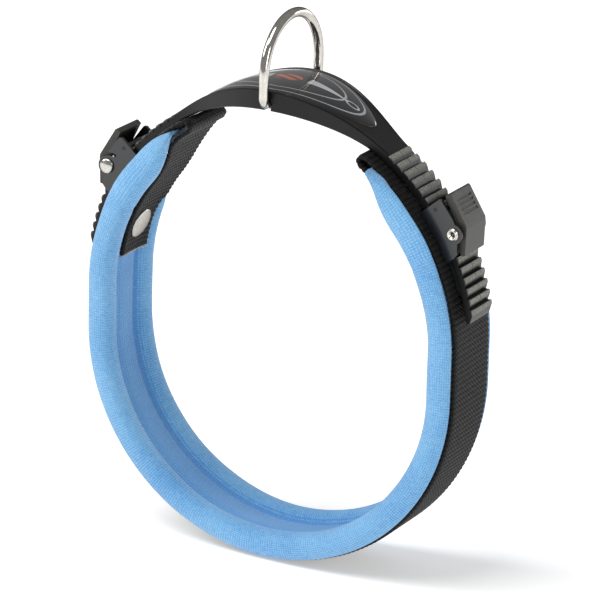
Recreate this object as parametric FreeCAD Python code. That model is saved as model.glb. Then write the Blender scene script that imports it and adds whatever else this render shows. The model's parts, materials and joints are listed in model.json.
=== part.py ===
import FreeCAD, Part
import math
import os

from FreeCAD import Matrix, Vector

# Padded dog collar with a moulded ladder strap, two ratchet buckles and a leash ring.
# Millimetres. The origin is the centre of the neck opening, X is the wearer's left to right
# across the ring, Y runs through the opening from front to back, and Z points to the leash ring.

# Ring of webbing: an oval made of two half circles and two short straight sides.
WEB_INNER_RADIUS = 72.0
WEB_THICKNESS = 1.8
WEB_WIDTH = 25.0
HALF_STRAIGHT = 7.8
FOLD_ANGLE = 29.0
FOLD_INNER_RADIUS = 0.8
FLAP_END_ANGLE = 81.0
FLAP_GAP = 0.1
FLAP_SIDE_GAP = 0.15
# The flap leaves the fold flat against the ring, then climbs onto the valley between the rolls.
FLAP_STEP = 2.0
FLAP_CLIMB_ANGLE = 44.0
FLAP_SEATED_ANGLE = 61.0

# Padding: a knitted sleeve over two foam rolls with a flat valley between them.
ROLL_RADIUS = 4.3
ROLL_SPACING = 24.4
SLEEVE_THICKNESS = 0.6
CORE_CLEARANCE = 0.05
VALLEY_THICKNESS = 6.4
VALLEY_START_ANGLE = 62.0
STRIP_WIDTH = 14.0
# The front roll reaches nearly to the fold, and the rear one ends beside the climbing flap.
FRONT_TIP_START_ANGLE = 31.5
FRONT_TIP_FULL_ANGLE = 50.0
REAR_TIP_START_ANGLE = 56.0
REAR_TIP_FULL_ANGLE = 69.0
TIP_RADIUS = 0.6
TIP_SOLID_ANGLE = 4.0

# Ladder strap, which slides round the same centre as the upper half of the webbing.
LADDER_GAP = 0.2
LADDER_WIDTH = 14.2
LADDER_BASE_THICKNESS = 1.6
TOOTH_DEPTH = 1.4
TOOTH_RISE_ANGLE = 0.12
TOOTH_TOP_ANGLE = 1.0
TOOTH_PITCH_ANGLE = 2.8
TOOTH_COUNT = 17
FIRST_TOOTH_ANGLE = 33.0
TAIL_PLAIN_ANGLE = 0.8

# Bridge: the wide middle of the ladder strap.
BRIDGE_WIDTH = 33.0
BRIDGE_LIFT = 1.3
BRIDGE_HEIGHT = 8.4
RIM_WIDTH = 1.3
RIM_HEIGHT = 0.6
LABEL_END_ANGLE = 24.6
LABEL_CROWN = 1.4
LABEL_SEAT = 0.03

# Leash ring.
RING_WIRE = 3.5
RING_SIDE_CLEARANCE = 0.55
RING_LEG = 9.4
RING_CORNER = 2.3
RING_BAR_DEPTH = 4.5
RING_CLEARANCE = 0.1
NOTCH_DEPTH = 3.0
NOTCH_HALF_ANGLE = 2.4

# Buckle frame, folded from sheet steel.
FRAME_SHEET = 1.2
FRAME_GAP = 0.2
FRAME_SIDE_CLEARANCE = 0.5
FRAME_ENTRY_ANGLE = 49.4
FRAME_TAIL_ANGLE = 64.2
WALL_RISE = 2.7
TONGUE_WIDTH = 14.0
TONGUE_OVERLAP_ANGLE = 1.0
RIVET_ANGLE = 71.0
SLOT_RADIUS = 5.2
SLOT_WIDTH = 1.3
SLOT_DROP = 1.2
SLOT_START_TURN = 118.0
SLOT_END_TURN = 170.0
# Side wall: how far its outline is set back from the plain block.
WALL_BEVEL = 0.8
WALL_BEVEL_ANGLE = 0.5
WALL_SHOULDER_ANGLE = 3.2
WALL_SLOPE_ANGLE = 2.3
WALL_SLOPE_DROP = 2.6
WALL_HEEL_RISE = 1.0
WALL_HEEL_ANGLE = 0.3

# Axle, lever and claw.
AXLE_ANGLE = 58.2
AXLE_RISE = 2.8
AXLE_RADIUS = 1.25
AXLE_CLEARANCE = 0.05
AXLE_HEAD_RADIUS = 2.8
AXLE_FLARE_RADIUS = 2.2
AXLE_FLARE_DEPTH = 0.9
AXLE_DIMPLE_WALL = 0.4
AXLE_DOME_RADIUS = 3.4
AXLE_DOME_RISE = 1.4
BULGE_RADIUS = 3.6
LEVER_SIDE_CLEARANCE = 0.6
LEVER_SKIN = 2.0
LEVER_CHEEK = 2.3
LEVER_REACH = 13.1
LEVER_TOP = 5.2
LEVER_EDGE = 0.5
LEVER_UNDERSIDE = 1.7
LEVER_TAIL = 1.2
HUB_RADIUS = 2.5
GRIP_COUNT = 4
GRIP_PITCH = 1.7
GRIP_START = 3.0
GRIP_DEPTH = 0.25
GRIP_MARGIN = 2.0
CLAW_SHOULDER = 1.5
CLAW_TIP_CLEARANCE = 0.3
CLAW_TOOTH = 11
CLAW_SETBACK_ANGLE = 0.35
CLAW_LENGTH = 3.6
CLAW_STEM_LENGTH = 2.6
CLAW_STEM_RISE = 1.3
CLAW_HEEL = 2.0
CLAW_HEEL_RISE = 0.85

# Torsion spring and guide.
SPRING_WIRE = 0.7
SPRING_RADIUS = 1.85
SPRING_TURNS = 5
SPRING_PITCH = 0.95
SPRING_LEG_PROUD = 0.6
GUIDE_ANGLE = 50.9
GUIDE_RADIUS = 1.2
GUIDE_CREST_GAP = 0.4
GUIDE_PIN_RADIUS = 0.7
GUIDE_PIN_DEPTH = 0.5

# Rivets through frame, webbing, sleeve and flap.
RIVET_SHANK = 1.6
RIVET_HEAD = 3.0
CAP_RADIUS = 5.6
CAP_THICKNESS = 0.9
CAP_RELIEF = 0.3
CAP_SLOPE = 1.2

WEB_OUTER_RADIUS = WEB_INNER_RADIUS + WEB_THICKNESS
ROLL_CENTRE_RADIUS = WEB_INNER_RADIUS - ROLL_RADIUS
# Radii about the upper arc's centre, from the webbing outwards.
FLOOR_INNER = WEB_OUTER_RADIUS + FRAME_GAP
FLOOR_OUTER = FLOOR_INNER + FRAME_SHEET
LADDER_INNER = FLOOR_OUTER + LADDER_GAP
TOOTH_ROOT = LADDER_INNER + LADDER_BASE_THICKNESS
TOOTH_CREST = TOOTH_ROOT + TOOTH_DEPTH
AXLE_RADIUS_FROM_CENTRE = TOOTH_CREST + AXLE_RISE
WALL_TOP_RADIUS = AXLE_RADIUS_FROM_CENTRE + WALL_RISE
BRIDGE_RIM_RADIUS = LADDER_INNER + BRIDGE_HEIGHT
RING_BAR_RADIUS = BRIDGE_RIM_RADIUS - RING_BAR_DEPTH
FRAME_INNER_WIDTH = LADDER_WIDTH + 2 * FRAME_SIDE_CLEARANCE
LEVER_WIDTH = FRAME_INNER_WIDTH - 2 * LEVER_SIDE_CLEARANCE
CLAW_WIDTH = LEVER_WIDTH - 2 * CLAW_SHOULDER
RING_WIDTH = BRIDGE_WIDTH + RING_WIRE + 2 * RING_SIDE_CLEARANCE
LADDER_END_ANGLE = FIRST_TOOTH_ANGLE + TOOTH_COUNT * TOOTH_PITCH_ANGLE + TAIL_PLAIN_ANGLE
FOLD_RADIUS = WEB_INNER_RADIUS - FOLD_INNER_RADIUS
FLAP_OUTER = FOLD_RADIUS - FOLD_INNER_RADIUS
FLAP_SEAT = WEB_INNER_RADIUS - VALLEY_THICKNESS - FLAP_GAP
FLAP_INNER = FLAP_SEAT - WEB_THICKNESS
PAD_EDGE = ROLL_SPACING / 2 + ROLL_RADIUS
ACROSS = Vector(0, 1, 0)


def point(angle, radius, y=0.0):
    """A point at an angle from the top, positive to the right, about the upper arc's centre."""
    a = math.radians(angle)
    return Vector(radius * math.sin(a), y, HALF_STRAIGHT + radius * math.cos(a))


def radial(angle):
    a = math.radians(angle)
    return Vector(math.sin(a), 0, math.cos(a))


def along(angle):
    a = math.radians(angle)
    return Vector(math.cos(a), 0, -math.sin(a))


def near_axle(t, h, y=0.0):
    """A point beside the axle: t towards the ladder's tail, h away from the neck."""
    offset = along(AXLE_ANGLE) * t + radial(AXLE_ANGLE) * h
    return point(AXLE_ANGLE, AXLE_RADIUS_FROM_CENTRE, y) + offset


def prism(points, half_width, y_middle=0.0):
    """A flat outline in the X-Z plane, extruded along Y on both sides of its middle."""
    shifted = [Vector(p.x, y_middle - half_width, p.z) for p in points]
    face = Part.Face(Part.makePolygon(shifted + [shifted[0]]))
    return face.extrude(ACROSS * (2 * half_width))


def band(inner, outer, start, end, half_width):
    """A curved strip between two radii and two angles about the upper arc's centre."""
    middle = (start + end) / 2
    edges = [
        Part.Arc(point(start, inner), point(middle, inner), point(end, inner)).toShape(),
        Part.makeLine(point(end, inner), point(end, outer)),
        Part.Arc(point(end, outer), point(middle, outer), point(start, outer)).toShape(),
        Part.makeLine(point(start, outer), point(start, inner)),
    ]
    face = Part.Face(Part.Wire(edges))
    face.translate(ACROSS * -half_width)
    return face.extrude(ACROSS * (2 * half_width))


def rod(start, end, radius):
    return Part.makeCylinder(radius, (end - start).Length, start, end - start)


def stadium(radius, half_width):
    """The oval of the ring as a solid slab."""
    top = Part.makeCylinder(radius, 2 * half_width, Vector(0, -half_width, HALF_STRAIGHT), ACROSS)
    bottom = Part.makeCylinder(radius, 2 * half_width, Vector(0, -half_width, -HALF_STRAIGHT), ACROSS)
    middle = Part.makeBox(2 * radius, 2 * half_width, 2 * HALF_STRAIGHT,
                          Vector(-radius, -half_width, -HALF_STRAIGHT))
    return top.fuse([bottom, middle]).removeSplitter()


def top_wedge(angle, half_width):
    """Everything within an angle of the top, to cut the ring open."""
    reach = 2 * WEB_OUTER_RADIUS
    centre = Vector(0, 0, HALF_STRAIGHT)
    return prism([centre, point(-angle, reach), Vector(0, 0, 2 * reach), point(angle, reach)],
                 half_width)


def half_turn(shape):
    """The same piece on the other side: turned half round the Z axis."""
    turned = shape.copy()
    turned.rotate(Vector(0, 0, 0), Vector(0, 0, 1), 180)
    return turned


def joined(first, *others):
    return first.fuse(list(others)).removeSplitter()


# --- Webbing -------------------------------------------------------------------------------

def flap_radius(angle):
    """Middle of the flap's thickness: against the ring first, then up on the valley."""
    share = (angle - FLAP_CLIMB_ANGLE) / (FLAP_SEATED_ANGLE - FLAP_CLIMB_ANGLE)
    climb = 0.5 - 0.5 * math.cos(math.pi * min(max(share, 0), 1))
    low = FLAP_OUTER - WEB_THICKNESS / 2
    return low + climb * (FLAP_SEAT - WEB_THICKNESS / 2 - low)


def flap_edge(angle, face):
    """How far across the flap reaches on one side, where the roll beside it lets it."""
    roll_radius = tip_radius(angle, face, 0)
    reach = roll_radius + WEB_THICKNESS / 2 + FLAP_SIDE_GAP
    depth = flap_radius(angle) - (WEB_INNER_RADIUS - roll_radius)
    beside = math.sqrt(max(reach ** 2 - depth ** 2, 0))
    return min(PAD_EDGE - roll_radius - beside, WEB_WIDTH / 2)


def flap_section(angle, side):
    """The flap's outline in a radial plane."""
    middle = flap_radius(angle)
    front = -flap_edge(angle, -1)
    rear = flap_edge(angle, 1)
    half = WEB_THICKNESS / 2
    outline = [point(side * angle, middle + half, front), point(side * angle, middle + half, rear),
               point(side * angle, middle - half, rear), point(side * angle, middle - half, front)]
    return Part.makePolygon(outline + [outline[0]])


def flap(side):
    """The strap's end, folded inwards and lying between the rolls down to the rivet."""
    steps = math.ceil((FLAP_END_ANGLE - FOLD_ANGLE) / FLAP_STEP)
    wires = []
    for i in range(steps + 1):
        angle = FOLD_ANGLE + (FLAP_END_ANGLE - FOLD_ANGLE) * i / steps
        wires.append(flap_section(angle, side))
    return Part.makeLoft(wires, True, True)


def fold(side):
    """The half-round bend where the strap turns back on itself."""
    centre = point(side * FOLD_ANGLE, FOLD_RADIUS, -WEB_WIDTH / 2)
    outer_radius = FOLD_INNER_RADIUS + WEB_THICKNESS
    bend = Part.makeCylinder(outer_radius, WEB_WIDTH, centre, ACROSS)
    bend = bend.cut(Part.makeCylinder(FOLD_INNER_RADIUS, WEB_WIDTH, centre, ACROSS))
    inward = along(side * FOLD_ANGLE) * (side * 2 * outer_radius)
    low = point(side * FOLD_ANGLE, FOLD_RADIUS - 2 * outer_radius)
    high = point(side * FOLD_ANGLE, FOLD_RADIUS + 2 * outer_radius)
    return bend.cut(prism([low, high, high + inward, low + inward], WEB_WIDTH))


def rivet_hole(side, radius):
    return rod(point(side * RIVET_ANGLE, FLAP_INNER - 3), point(side * RIVET_ANGLE, FLOOR_OUTER + 1),
               radius)


def webbing_strap():
    ring = stadium(WEB_OUTER_RADIUS, WEB_WIDTH / 2).cut(stadium(WEB_INNER_RADIUS, WEB_WIDTH))
    ring = ring.cut(top_wedge(FOLD_ANGLE, WEB_WIDTH))
    pieces = []
    for side in (-1, 1):
        pieces += [fold(side), flap(side)]
    strap = joined(ring, *pieces)
    for side in (-1, 1):
        strap = strap.cut(rivet_hole(side, RIVET_SHANK))
    return strap


# --- Padding -------------------------------------------------------------------------------

def tip_angles(face):
    """Where a roll starts and where it reaches its full radius."""
    if face < 0:
        return FRONT_TIP_START_ANGLE, FRONT_TIP_FULL_ANGLE
    return REAR_TIP_START_ANGLE, REAR_TIP_FULL_ANGLE


def tip_radius(angle, face, inset):
    """The roll swells from a point to its full radius between two angles."""
    start, full = tip_angles(face)
    share = min(max((angle - start) / (full - start), 0), 1)
    swell = math.sin(math.radians(90 * share))
    return TIP_RADIUS + (ROLL_RADIUS - TIP_RADIUS) * swell - inset


def tip(side, face, inset, delay):
    """The tapered end of one roll, from a small circle up to the full one."""
    wires = []
    steps = 5
    start, end = tip_angles(face)
    for i in range(steps + 1):
        angle = start + delay + (end - start - delay) * i / steps
        full = tip_radius(angle, face, 0)
        centre = point(side * angle, WEB_INNER_RADIUS - full, face * (PAD_EDGE - full))
        circle = Part.makeCircle(tip_radius(angle, face, inset), centre, along(side * angle))
        wires.append(Part.Wire([circle]))
    return Part.makeLoft(wires, True, False)


def roll(face, inset, delay):
    """One foam roll, running from tip to tip the long way round the ring."""
    y = face * ROLL_SPACING / 2
    radius = ROLL_RADIUS - inset
    full_angle = tip_angles(face)[1]
    pieces = []
    for side in (-1, 1):
        circle = Part.Face(Part.Wire([Part.makeCircle(
            radius, point(side * full_angle, ROLL_CENTRE_RADIUS, y), along(side * full_angle))]))
        sweep = side * (90 - full_angle)
        pieces.append(circle.revolve(Vector(0, 0, HALF_STRAIGHT), ACROSS, sweep))
        side_x = side * ROLL_CENTRE_RADIUS
        pieces.append(rod(Vector(side_x, y, HALF_STRAIGHT), Vector(side_x, y, -HALF_STRAIGHT), radius))
        pieces.append(tip(side, face, inset, delay))
    circle = Part.Face(Part.Wire([Part.makeCircle(
        radius, Vector(ROLL_CENTRE_RADIUS, y, -HALF_STRAIGHT), Vector(0, 0, 1))]))
    pieces.append(circle.revolve(Vector(0, 0, -HALF_STRAIGHT), ACROSS, 180))
    return joined(pieces[0], *pieces[1:])


def valley_strip(inset, half_width, start):
    """The flat middle of the padding, which runs between the two rolls."""
    strip = stadium(WEB_INNER_RADIUS - inset, half_width)
    strip = strip.cut(stadium(WEB_INNER_RADIUS - VALLEY_THICKNESS + inset, 2 * half_width))
    return strip.cut(top_wedge(start, 2 * half_width))


def pad_cover():
    valley = valley_strip(0, ROLL_SPACING / 2 - 1.5, VALLEY_START_ANGLE)
    cover = joined(valley, roll(1, 0, 0), roll(-1, 0, 0))
    cover = cover.cut(valley_strip(SLEEVE_THICKNESS, STRIP_WIDTH / 2, VALLEY_START_ANGLE + 1))
    for face in (-1, 1):
        cover = cover.cut(roll(face, SLEEVE_THICKNESS, TIP_SOLID_ANGLE))
    for side in (-1, 1):
        cover = cover.cut(rivet_hole(side, RIVET_SHANK))
    return cover


def foam_core(face):
    return roll(face, SLEEVE_THICKNESS + CORE_CLEARANCE, TIP_SOLID_ANGLE + 0.2)


def foam_strip():
    strip = valley_strip(SLEEVE_THICKNESS + CORE_CLEARANCE, STRIP_WIDTH / 2 - CORE_CLEARANCE,
                         VALLEY_START_ANGLE + 1.1)
    for side in (-1, 1):
        strip = strip.cut(rivet_hole(side, RIVET_SHANK))
    return strip


# --- Ladder strap, bridge and label --------------------------------------------------------

def taper(angle):
    """One at the middle of the bridge, falling smoothly to nothing at the first tooth."""
    share = min(abs(angle) / FIRST_TOOTH_ANGLE, 1.0)
    return math.cos(math.pi / 2 * share) ** 1.35


def bridge_half_width(angle):
    return LADDER_WIDTH / 2 + (BRIDGE_WIDTH - LADDER_WIDTH) / 2 * taper(angle) ** 1.3


def bridge_rim(angle):
    return TOOTH_CREST + (BRIDGE_RIM_RADIUS - TOOTH_CREST) * taper(angle)


def bridge_section(angle):
    half = bridge_half_width(angle)
    low = LADDER_INNER + BRIDGE_LIFT * taper(angle)
    high = bridge_rim(angle)
    step = RIM_HEIGHT * taper(angle) + 0.05
    rim = min(RIM_WIDTH, half / 4)
    outline = [
        point(angle, low, -half + 0.4),
        point(angle, low, half - 0.4),
        point(angle, low + 0.4, half),
        point(angle, high - 0.3, half),
        point(angle, high, half - rim / 2),
        point(angle, high - step, half - rim),
        point(angle, high - step, -half + rim),
        point(angle, high, -half + rim / 2),
        point(angle, high - 0.3, -half),
        point(angle, low + 0.4, -half),
    ]
    return Part.makePolygon(outline + [outline[0]])


def teeth(side):
    """One arm of the ladder: steep faces look at the bridge and the tops fall to the tail."""
    outline = [point(side * (FIRST_TOOTH_ANGLE - 1), LADDER_INNER),
               point(side * (FIRST_TOOTH_ANGLE - 1), TOOTH_ROOT)]
    for i in range(TOOTH_COUNT):
        angle = FIRST_TOOTH_ANGLE + i * TOOTH_PITCH_ANGLE
        outline.append(point(side * angle, TOOTH_ROOT))
        outline.append(point(side * (angle + TOOTH_RISE_ANGLE), TOOTH_CREST))
        outline.append(point(side * (angle + TOOTH_TOP_ANGLE), TOOTH_CREST))
    end = FIRST_TOOTH_ANGLE + TOOTH_COUNT * TOOTH_PITCH_ANGLE
    outline.append(point(side * end, TOOTH_ROOT + 0.2))
    outline.append(point(side * LADDER_END_ANGLE, TOOTH_ROOT - 0.4))
    outline.append(point(side * LADDER_END_ANGLE, LADDER_INNER + 0.1))
    strip = prism(outline, LADDER_WIDTH / 2)
    under = Part.makeCylinder(LADDER_INNER, 2 * LADDER_WIDTH,
                              Vector(0, -LADDER_WIDTH, HALF_STRAIGHT), ACROSS)
    strip = strip.cut(under)
    # The outline's last edge is a chord: this fills the strip down to its true curved underside.
    base = band(LADDER_INNER, TOOTH_ROOT - 0.4, side * (FIRST_TOOTH_ANGLE - 1),
                side * LADDER_END_ANGLE, LADDER_WIDTH / 2)
    return joined(base, strip)


def ladder_bridge():
    step = 3.0
    count = int(FIRST_TOOTH_ANGLE / step)
    wires = [bridge_section(i * step) for i in range(-count, count + 1)]
    middle = Part.makeLoft(wires, True, False)
    whole = joined(middle, teeth(-1), teeth(1))
    # Cross bore for the ring's bar, with a notch below it in each side wall.
    bar = point(0, RING_BAR_RADIUS)
    bore_radius = RING_WIRE / 2 + RING_CLEARANCE
    bore = rod(bar - ACROSS * BRIDGE_WIDTH, bar + ACROSS * BRIDGE_WIDTH, bore_radius)
    whole = whole.cut(bore)
    for face in (-1, 1):
        notch = prism([point(-NOTCH_HALF_ANGLE / 3, LADDER_INNER), bar - radial(90) * bore_radius,
                       bar + radial(90) * bore_radius, point(NOTCH_HALF_ANGLE / 3, LADDER_INNER)],
                      NOTCH_DEPTH / 2, face * (BRIDGE_WIDTH / 2 - NOTCH_DEPTH / 2 + 0.01))
        whole = whole.cut(notch)
    return whole


def label_half_width(angle):
    share = min(abs(angle) / LABEL_END_ANGLE, 1.0)
    inside_rims = bridge_half_width(angle) - RIM_WIDTH - 0.2
    return max(inside_rims * math.sqrt(max(1 - share ** 3.2, 0.0)), 0.6)


def bridge_label():
    """A domed lens of clear resin that lies between the two rims."""
    wires = []
    count = 12
    for i in range(-count, count + 1):
        angle = LABEL_END_ANGLE * i / count
        half = label_half_width(angle)
        seat = bridge_rim(angle) - RIM_HEIGHT * taper(angle) - 0.05 + LABEL_SEAT
        crown = seat + 0.4 + LABEL_CROWN * half / label_half_width(0)
        edge = seat + 0.25
        start = point(angle, seat, -half)
        arc = Part.Arc(point(angle, edge, half), point(angle, crown, 0), point(angle, edge, -half))
        wires.append(Part.Wire([
            Part.makeLine(start, point(angle, seat, half)),
            Part.makeLine(point(angle, seat, half), point(angle, edge, half)),
            arc.toShape(),
            Part.makeLine(point(angle, edge, -half), start),
        ]))
    return Part.makeLoft(wires, True, False)


def d_ring():
    """A bar, two short legs and a half circle, in one round wire."""
    half = RING_WIDTH / 2
    bar_z = HALF_STRAIGHT + RING_BAR_RADIUS
    low = bar_z + RING_CORNER
    top = bar_z + RING_LEG
    turn = RING_CORNER * (1 - math.sqrt(0.5))
    edges = [
        Part.makeLine(Vector(0, -half + RING_CORNER, bar_z), Vector(0, half - RING_CORNER, bar_z)),
        Part.Arc(Vector(0, half - RING_CORNER, bar_z), Vector(0, half - turn, bar_z + turn),
                 Vector(0, half, low)).toShape(),
        Part.makeLine(Vector(0, half, low), Vector(0, half, top)),
        Part.Arc(Vector(0, half, top), Vector(0, 0, top + half), Vector(0, -half, top)).toShape(),
        Part.makeLine(Vector(0, -half, top), Vector(0, -half, low)),
        Part.Arc(Vector(0, -half, low), Vector(0, -half + turn, bar_z + turn),
                 Vector(0, -half + RING_CORNER, bar_z)).toShape(),
    ]
    path = Part.Wire(edges)
    circle = Part.Wire([Part.makeCircle(RING_WIRE / 2, edges[0].Vertexes[0].Point, ACROSS)])
    return path.makePipeShell([circle], True, True)


# --- Right-hand buckle ---------------------------------------------------------------------

def frame_wall(face):
    """One side plate: square at the entry, swollen round the axle and cut away at the tail."""
    outline = [
        point(FRAME_ENTRY_ANGLE, FLOOR_INNER),
        point(FRAME_ENTRY_ANGLE, WALL_TOP_RADIUS - WALL_BEVEL),
        point(FRAME_ENTRY_ANGLE + WALL_BEVEL_ANGLE, WALL_TOP_RADIUS),
        point(AXLE_ANGLE - WALL_SHOULDER_ANGLE, WALL_TOP_RADIUS),
        point(AXLE_ANGLE, WALL_TOP_RADIUS - WALL_BEVEL / 2),
        point(AXLE_ANGLE + WALL_SLOPE_ANGLE, WALL_TOP_RADIUS - WALL_SLOPE_DROP),
        point(FRAME_TAIL_ANGLE - WALL_HEEL_RISE, TOOTH_CREST + WALL_HEEL_RISE),
        point(FRAME_TAIL_ANGLE - WALL_HEEL_ANGLE, TOOTH_CREST - WALL_HEEL_RISE),
        point(FRAME_TAIL_ANGLE, FLOOR_INNER),
        point((FRAME_ENTRY_ANGLE + FRAME_TAIL_ANGLE) / 2, FLOOR_INNER),
    ]
    middle = face * (FRAME_INNER_WIDTH + FRAME_SHEET) / 2
    wall = prism(outline, FRAME_SHEET / 2, middle)
    axle = near_axle(0, 0, middle - FRAME_SHEET / 2)
    bulge = Part.makeCylinder(BULGE_RADIUS, FRAME_SHEET, axle, ACROSS)
    under = Part.makeCylinder(FLOOR_INNER, 4 * FRAME_SHEET,
                              Vector(0, middle - 2 * FRAME_SHEET, HALF_STRAIGHT), ACROSS)
    return joined(wall, bulge).cut(under)


def slot_point(turn_angle, y):
    """A point on the middle line of the spring's curved window."""
    turn = math.radians(turn_angle)
    return near_axle(SLOT_RADIUS * math.cos(turn), SLOT_RADIUS * math.sin(turn) - SLOT_DROP, y)


def spring_slot():
    """Curved window for the spring's leg, in the wall beside the axle's round head."""
    middle = (FRAME_INNER_WIDTH + FRAME_SHEET) / 2
    slot = None
    steps = 8
    for i in range(steps + 1):
        turn = SLOT_START_TURN + (SLOT_END_TURN - SLOT_START_TURN) * i / steps
        centre = slot_point(turn, middle - FRAME_SHEET)
        hole = Part.makeCylinder(SLOT_WIDTH / 2, 2 * FRAME_SHEET, centre, ACROSS)
        slot = hole if slot is None else slot.fuse(hole)
    return slot


def buckle_frame():
    half = FRAME_INNER_WIDTH / 2 + FRAME_SHEET
    floor = band(FLOOR_INNER, FLOOR_OUTER, FRAME_ENTRY_ANGLE, FRAME_TAIL_ANGLE, half)
    tongue = band(FLOOR_INNER, FLOOR_OUTER, FRAME_TAIL_ANGLE - TONGUE_OVERLAP_ANGLE, 90.0, half)
    depth = TONGUE_WIDTH / 2
    foot = point(RIVET_ANGLE, FLOOR_INNER - depth)
    round_end = Part.makeCylinder(TONGUE_WIDTH / 2, 2 * depth, foot, radial(RIVET_ANGLE))
    back = along(RIVET_ANGLE) * -TONGUE_WIDTH
    rise = radial(RIVET_ANGLE) * (2 * depth)
    straight = prism([foot, foot + back, foot + back + rise, foot + rise], TONGUE_WIDTH / 2)
    tongue = tongue.common(joined(round_end, straight))
    frame = joined(floor, tongue, frame_wall(-1), frame_wall(1))
    axle_hole = rod(near_axle(0, 0, -half - 1), near_axle(0, 0, half + 1), AXLE_RADIUS)
    frame = frame.cut(axle_hole)
    frame = frame.cut(spring_slot())
    frame = frame.cut(rivet_hole(1, RIVET_SHANK))
    for face in (-1, 1):
        frame = frame.cut(guide_pin(face))
    return frame.cut(countersink())


def countersink():
    return Part.makeCone(RIVET_SHANK, RIVET_HEAD, FRAME_SHEET,
                         point(RIVET_ANGLE, FLOOR_INNER), radial(RIVET_ANGLE))


def axle_pin():
    """Shank through both walls, a round head on one side and a flared tube end on the other."""
    half = FRAME_INNER_WIDTH / 2 + FRAME_SHEET
    shank = rod(near_axle(0, 0, -half), near_axle(0, 0, half), AXLE_RADIUS)
    dome = Part.makeSphere(AXLE_DOME_RADIUS, near_axle(0, 0, half - AXLE_DOME_RADIUS + AXLE_DOME_RISE))
    head_end = near_axle(0, 0, half + AXLE_DOME_RADIUS)
    dome = dome.common(rod(near_axle(0, 0, half), head_end, AXLE_HEAD_RADIUS))
    flare = Part.makeCone(AXLE_FLARE_RADIUS, AXLE_RADIUS + AXLE_DIMPLE_WALL, AXLE_FLARE_DEPTH,
                          near_axle(0, 0, -half), -ACROSS)
    dimple = rod(near_axle(0, 0, -half - 2 * AXLE_FLARE_DEPTH), near_axle(0, 0, -half + AXLE_FLARE_DEPTH),
                 AXLE_RADIUS - AXLE_DIMPLE_WALL)
    return joined(shank, dome, flare).cut(dimple)


def claw_tip():
    """Where the claw's edge lies, beside a steep face, as distances from the axle."""
    angle = FIRST_TOOTH_ANGLE + CLAW_TOOTH * TOOTH_PITCH_ANGLE - CLAW_SETBACK_ANGLE - AXLE_ANGLE
    radius = TOOTH_CREST + CLAW_TIP_CLEARANCE
    turn = math.radians(angle)
    return radius * math.sin(turn), radius * math.cos(turn) - AXLE_RADIUS_FROM_CENTRE


def claw_stem(half_width):
    tip_t, _ = claw_tip()
    low = -LEVER_UNDERSIDE - 0.1
    high = low + CLAW_STEM_RISE
    start = tip_t - CLAW_STEM_LENGTH
    end = tip_t - LEVER_TAIL / 2
    return prism([near_axle(start, low), near_axle(end, low), near_axle(end, high),
                  near_axle(start, high)], half_width)


def claw():
    """Hard steel edge pressed into the lever's tail."""
    tip_t, tip_h = claw_tip()
    heel = near_axle(tip_t - CLAW_HEEL, tip_h + CLAW_HEEL_RISE)
    edge = prism([near_axle(tip_t - CLAW_LENGTH, -LEVER_UNDERSIDE),
                  near_axle(tip_t + CLAW_TIP_CLEARANCE, -LEVER_UNDERSIDE),
                  near_axle(tip_t, tip_h), heel], CLAW_WIDTH / 2)
    return joined(edge, claw_stem(CLAW_WIDTH / 2))


def lever():
    """Two-faced plastic thumb piece with a cheek on each side of the spring."""
    tip_t, _ = claw_tip()
    block_end = tip_t + LEVER_TAIL
    free_end = -LEVER_REACH
    inner_top = LEVER_TOP - LEVER_SKIN
    outline = [
        near_axle(free_end, LEVER_TOP - LEVER_EDGE),
        near_axle(free_end + LEVER_EDGE, LEVER_TOP),
        near_axle(-LEVER_EDGE, LEVER_TOP),
        near_axle(LEVER_EDGE, LEVER_TOP - LEVER_EDGE),
        near_axle(block_end, -LEVER_EDGE),
        near_axle(block_end - LEVER_EDGE / 2, -LEVER_UNDERSIDE + 0.1),
        near_axle(block_end - LEVER_EDGE, -LEVER_UNDERSIDE),
        near_axle(HUB_RADIUS - LEVER_EDGE, -LEVER_UNDERSIDE),
        near_axle(-HUB_RADIUS + LEVER_EDGE / 2, -LEVER_UNDERSIDE + LEVER_EDGE),
        near_axle(-2 * HUB_RADIUS + LEVER_EDGE, inner_top - 2 * LEVER_EDGE),
        near_axle(free_end + LEVER_EDGE / 2, inner_top - LEVER_EDGE / 2),
    ]
    body = prism(outline, LEVER_WIDTH / 2)
    half = LEVER_WIDTH / 2
    hub = rod(near_axle(0, 0, -half), near_axle(0, 0, half), HUB_RADIUS)
    body = joined(body, hub)
    # The pocket between the cheeks takes the spring and leaves a solid tail for the claw.
    pocket_end = tip_t - CLAW_LENGTH - LEVER_EDGE
    below = -LEVER_TOP
    pocket = prism([near_axle(free_end + LEVER_SKIN, below), near_axle(pocket_end, below),
                    near_axle(pocket_end, inner_top - LEVER_SKIN), near_axle(2 * LEVER_EDGE, inner_top),
                    near_axle(free_end + LEVER_SKIN, inner_top)], half - LEVER_CHEEK)
    body = body.cut(pocket)
    bore = rod(near_axle(0, 0, -half - 1), near_axle(0, 0, half + 1), AXLE_RADIUS + AXLE_CLEARANCE)
    body = body.cut(bore)
    body = body.cut(joined(claw_stem(CLAW_WIDTH / 2), claw()))
    return body.cut(grip_grooves())


def grip_grooves():
    """Plain cross grooves for the thumb on the lever's long face."""
    grooves = None
    low = LEVER_TOP - GRIP_DEPTH
    high = LEVER_TOP + GRIP_DEPTH
    width = GRIP_PITCH / 2
    for i in range(GRIP_COUNT):
        t = -LEVER_REACH + GRIP_START + GRIP_PITCH * i
        groove = prism([near_axle(t, low), near_axle(t + width - GRIP_DEPTH, low),
                        near_axle(t + width, high), near_axle(t - GRIP_DEPTH, high)],
                       LEVER_WIDTH / 2 - GRIP_MARGIN)
        grooves = groove if grooves is None else grooves.fuse(groove)
    return grooves


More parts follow.
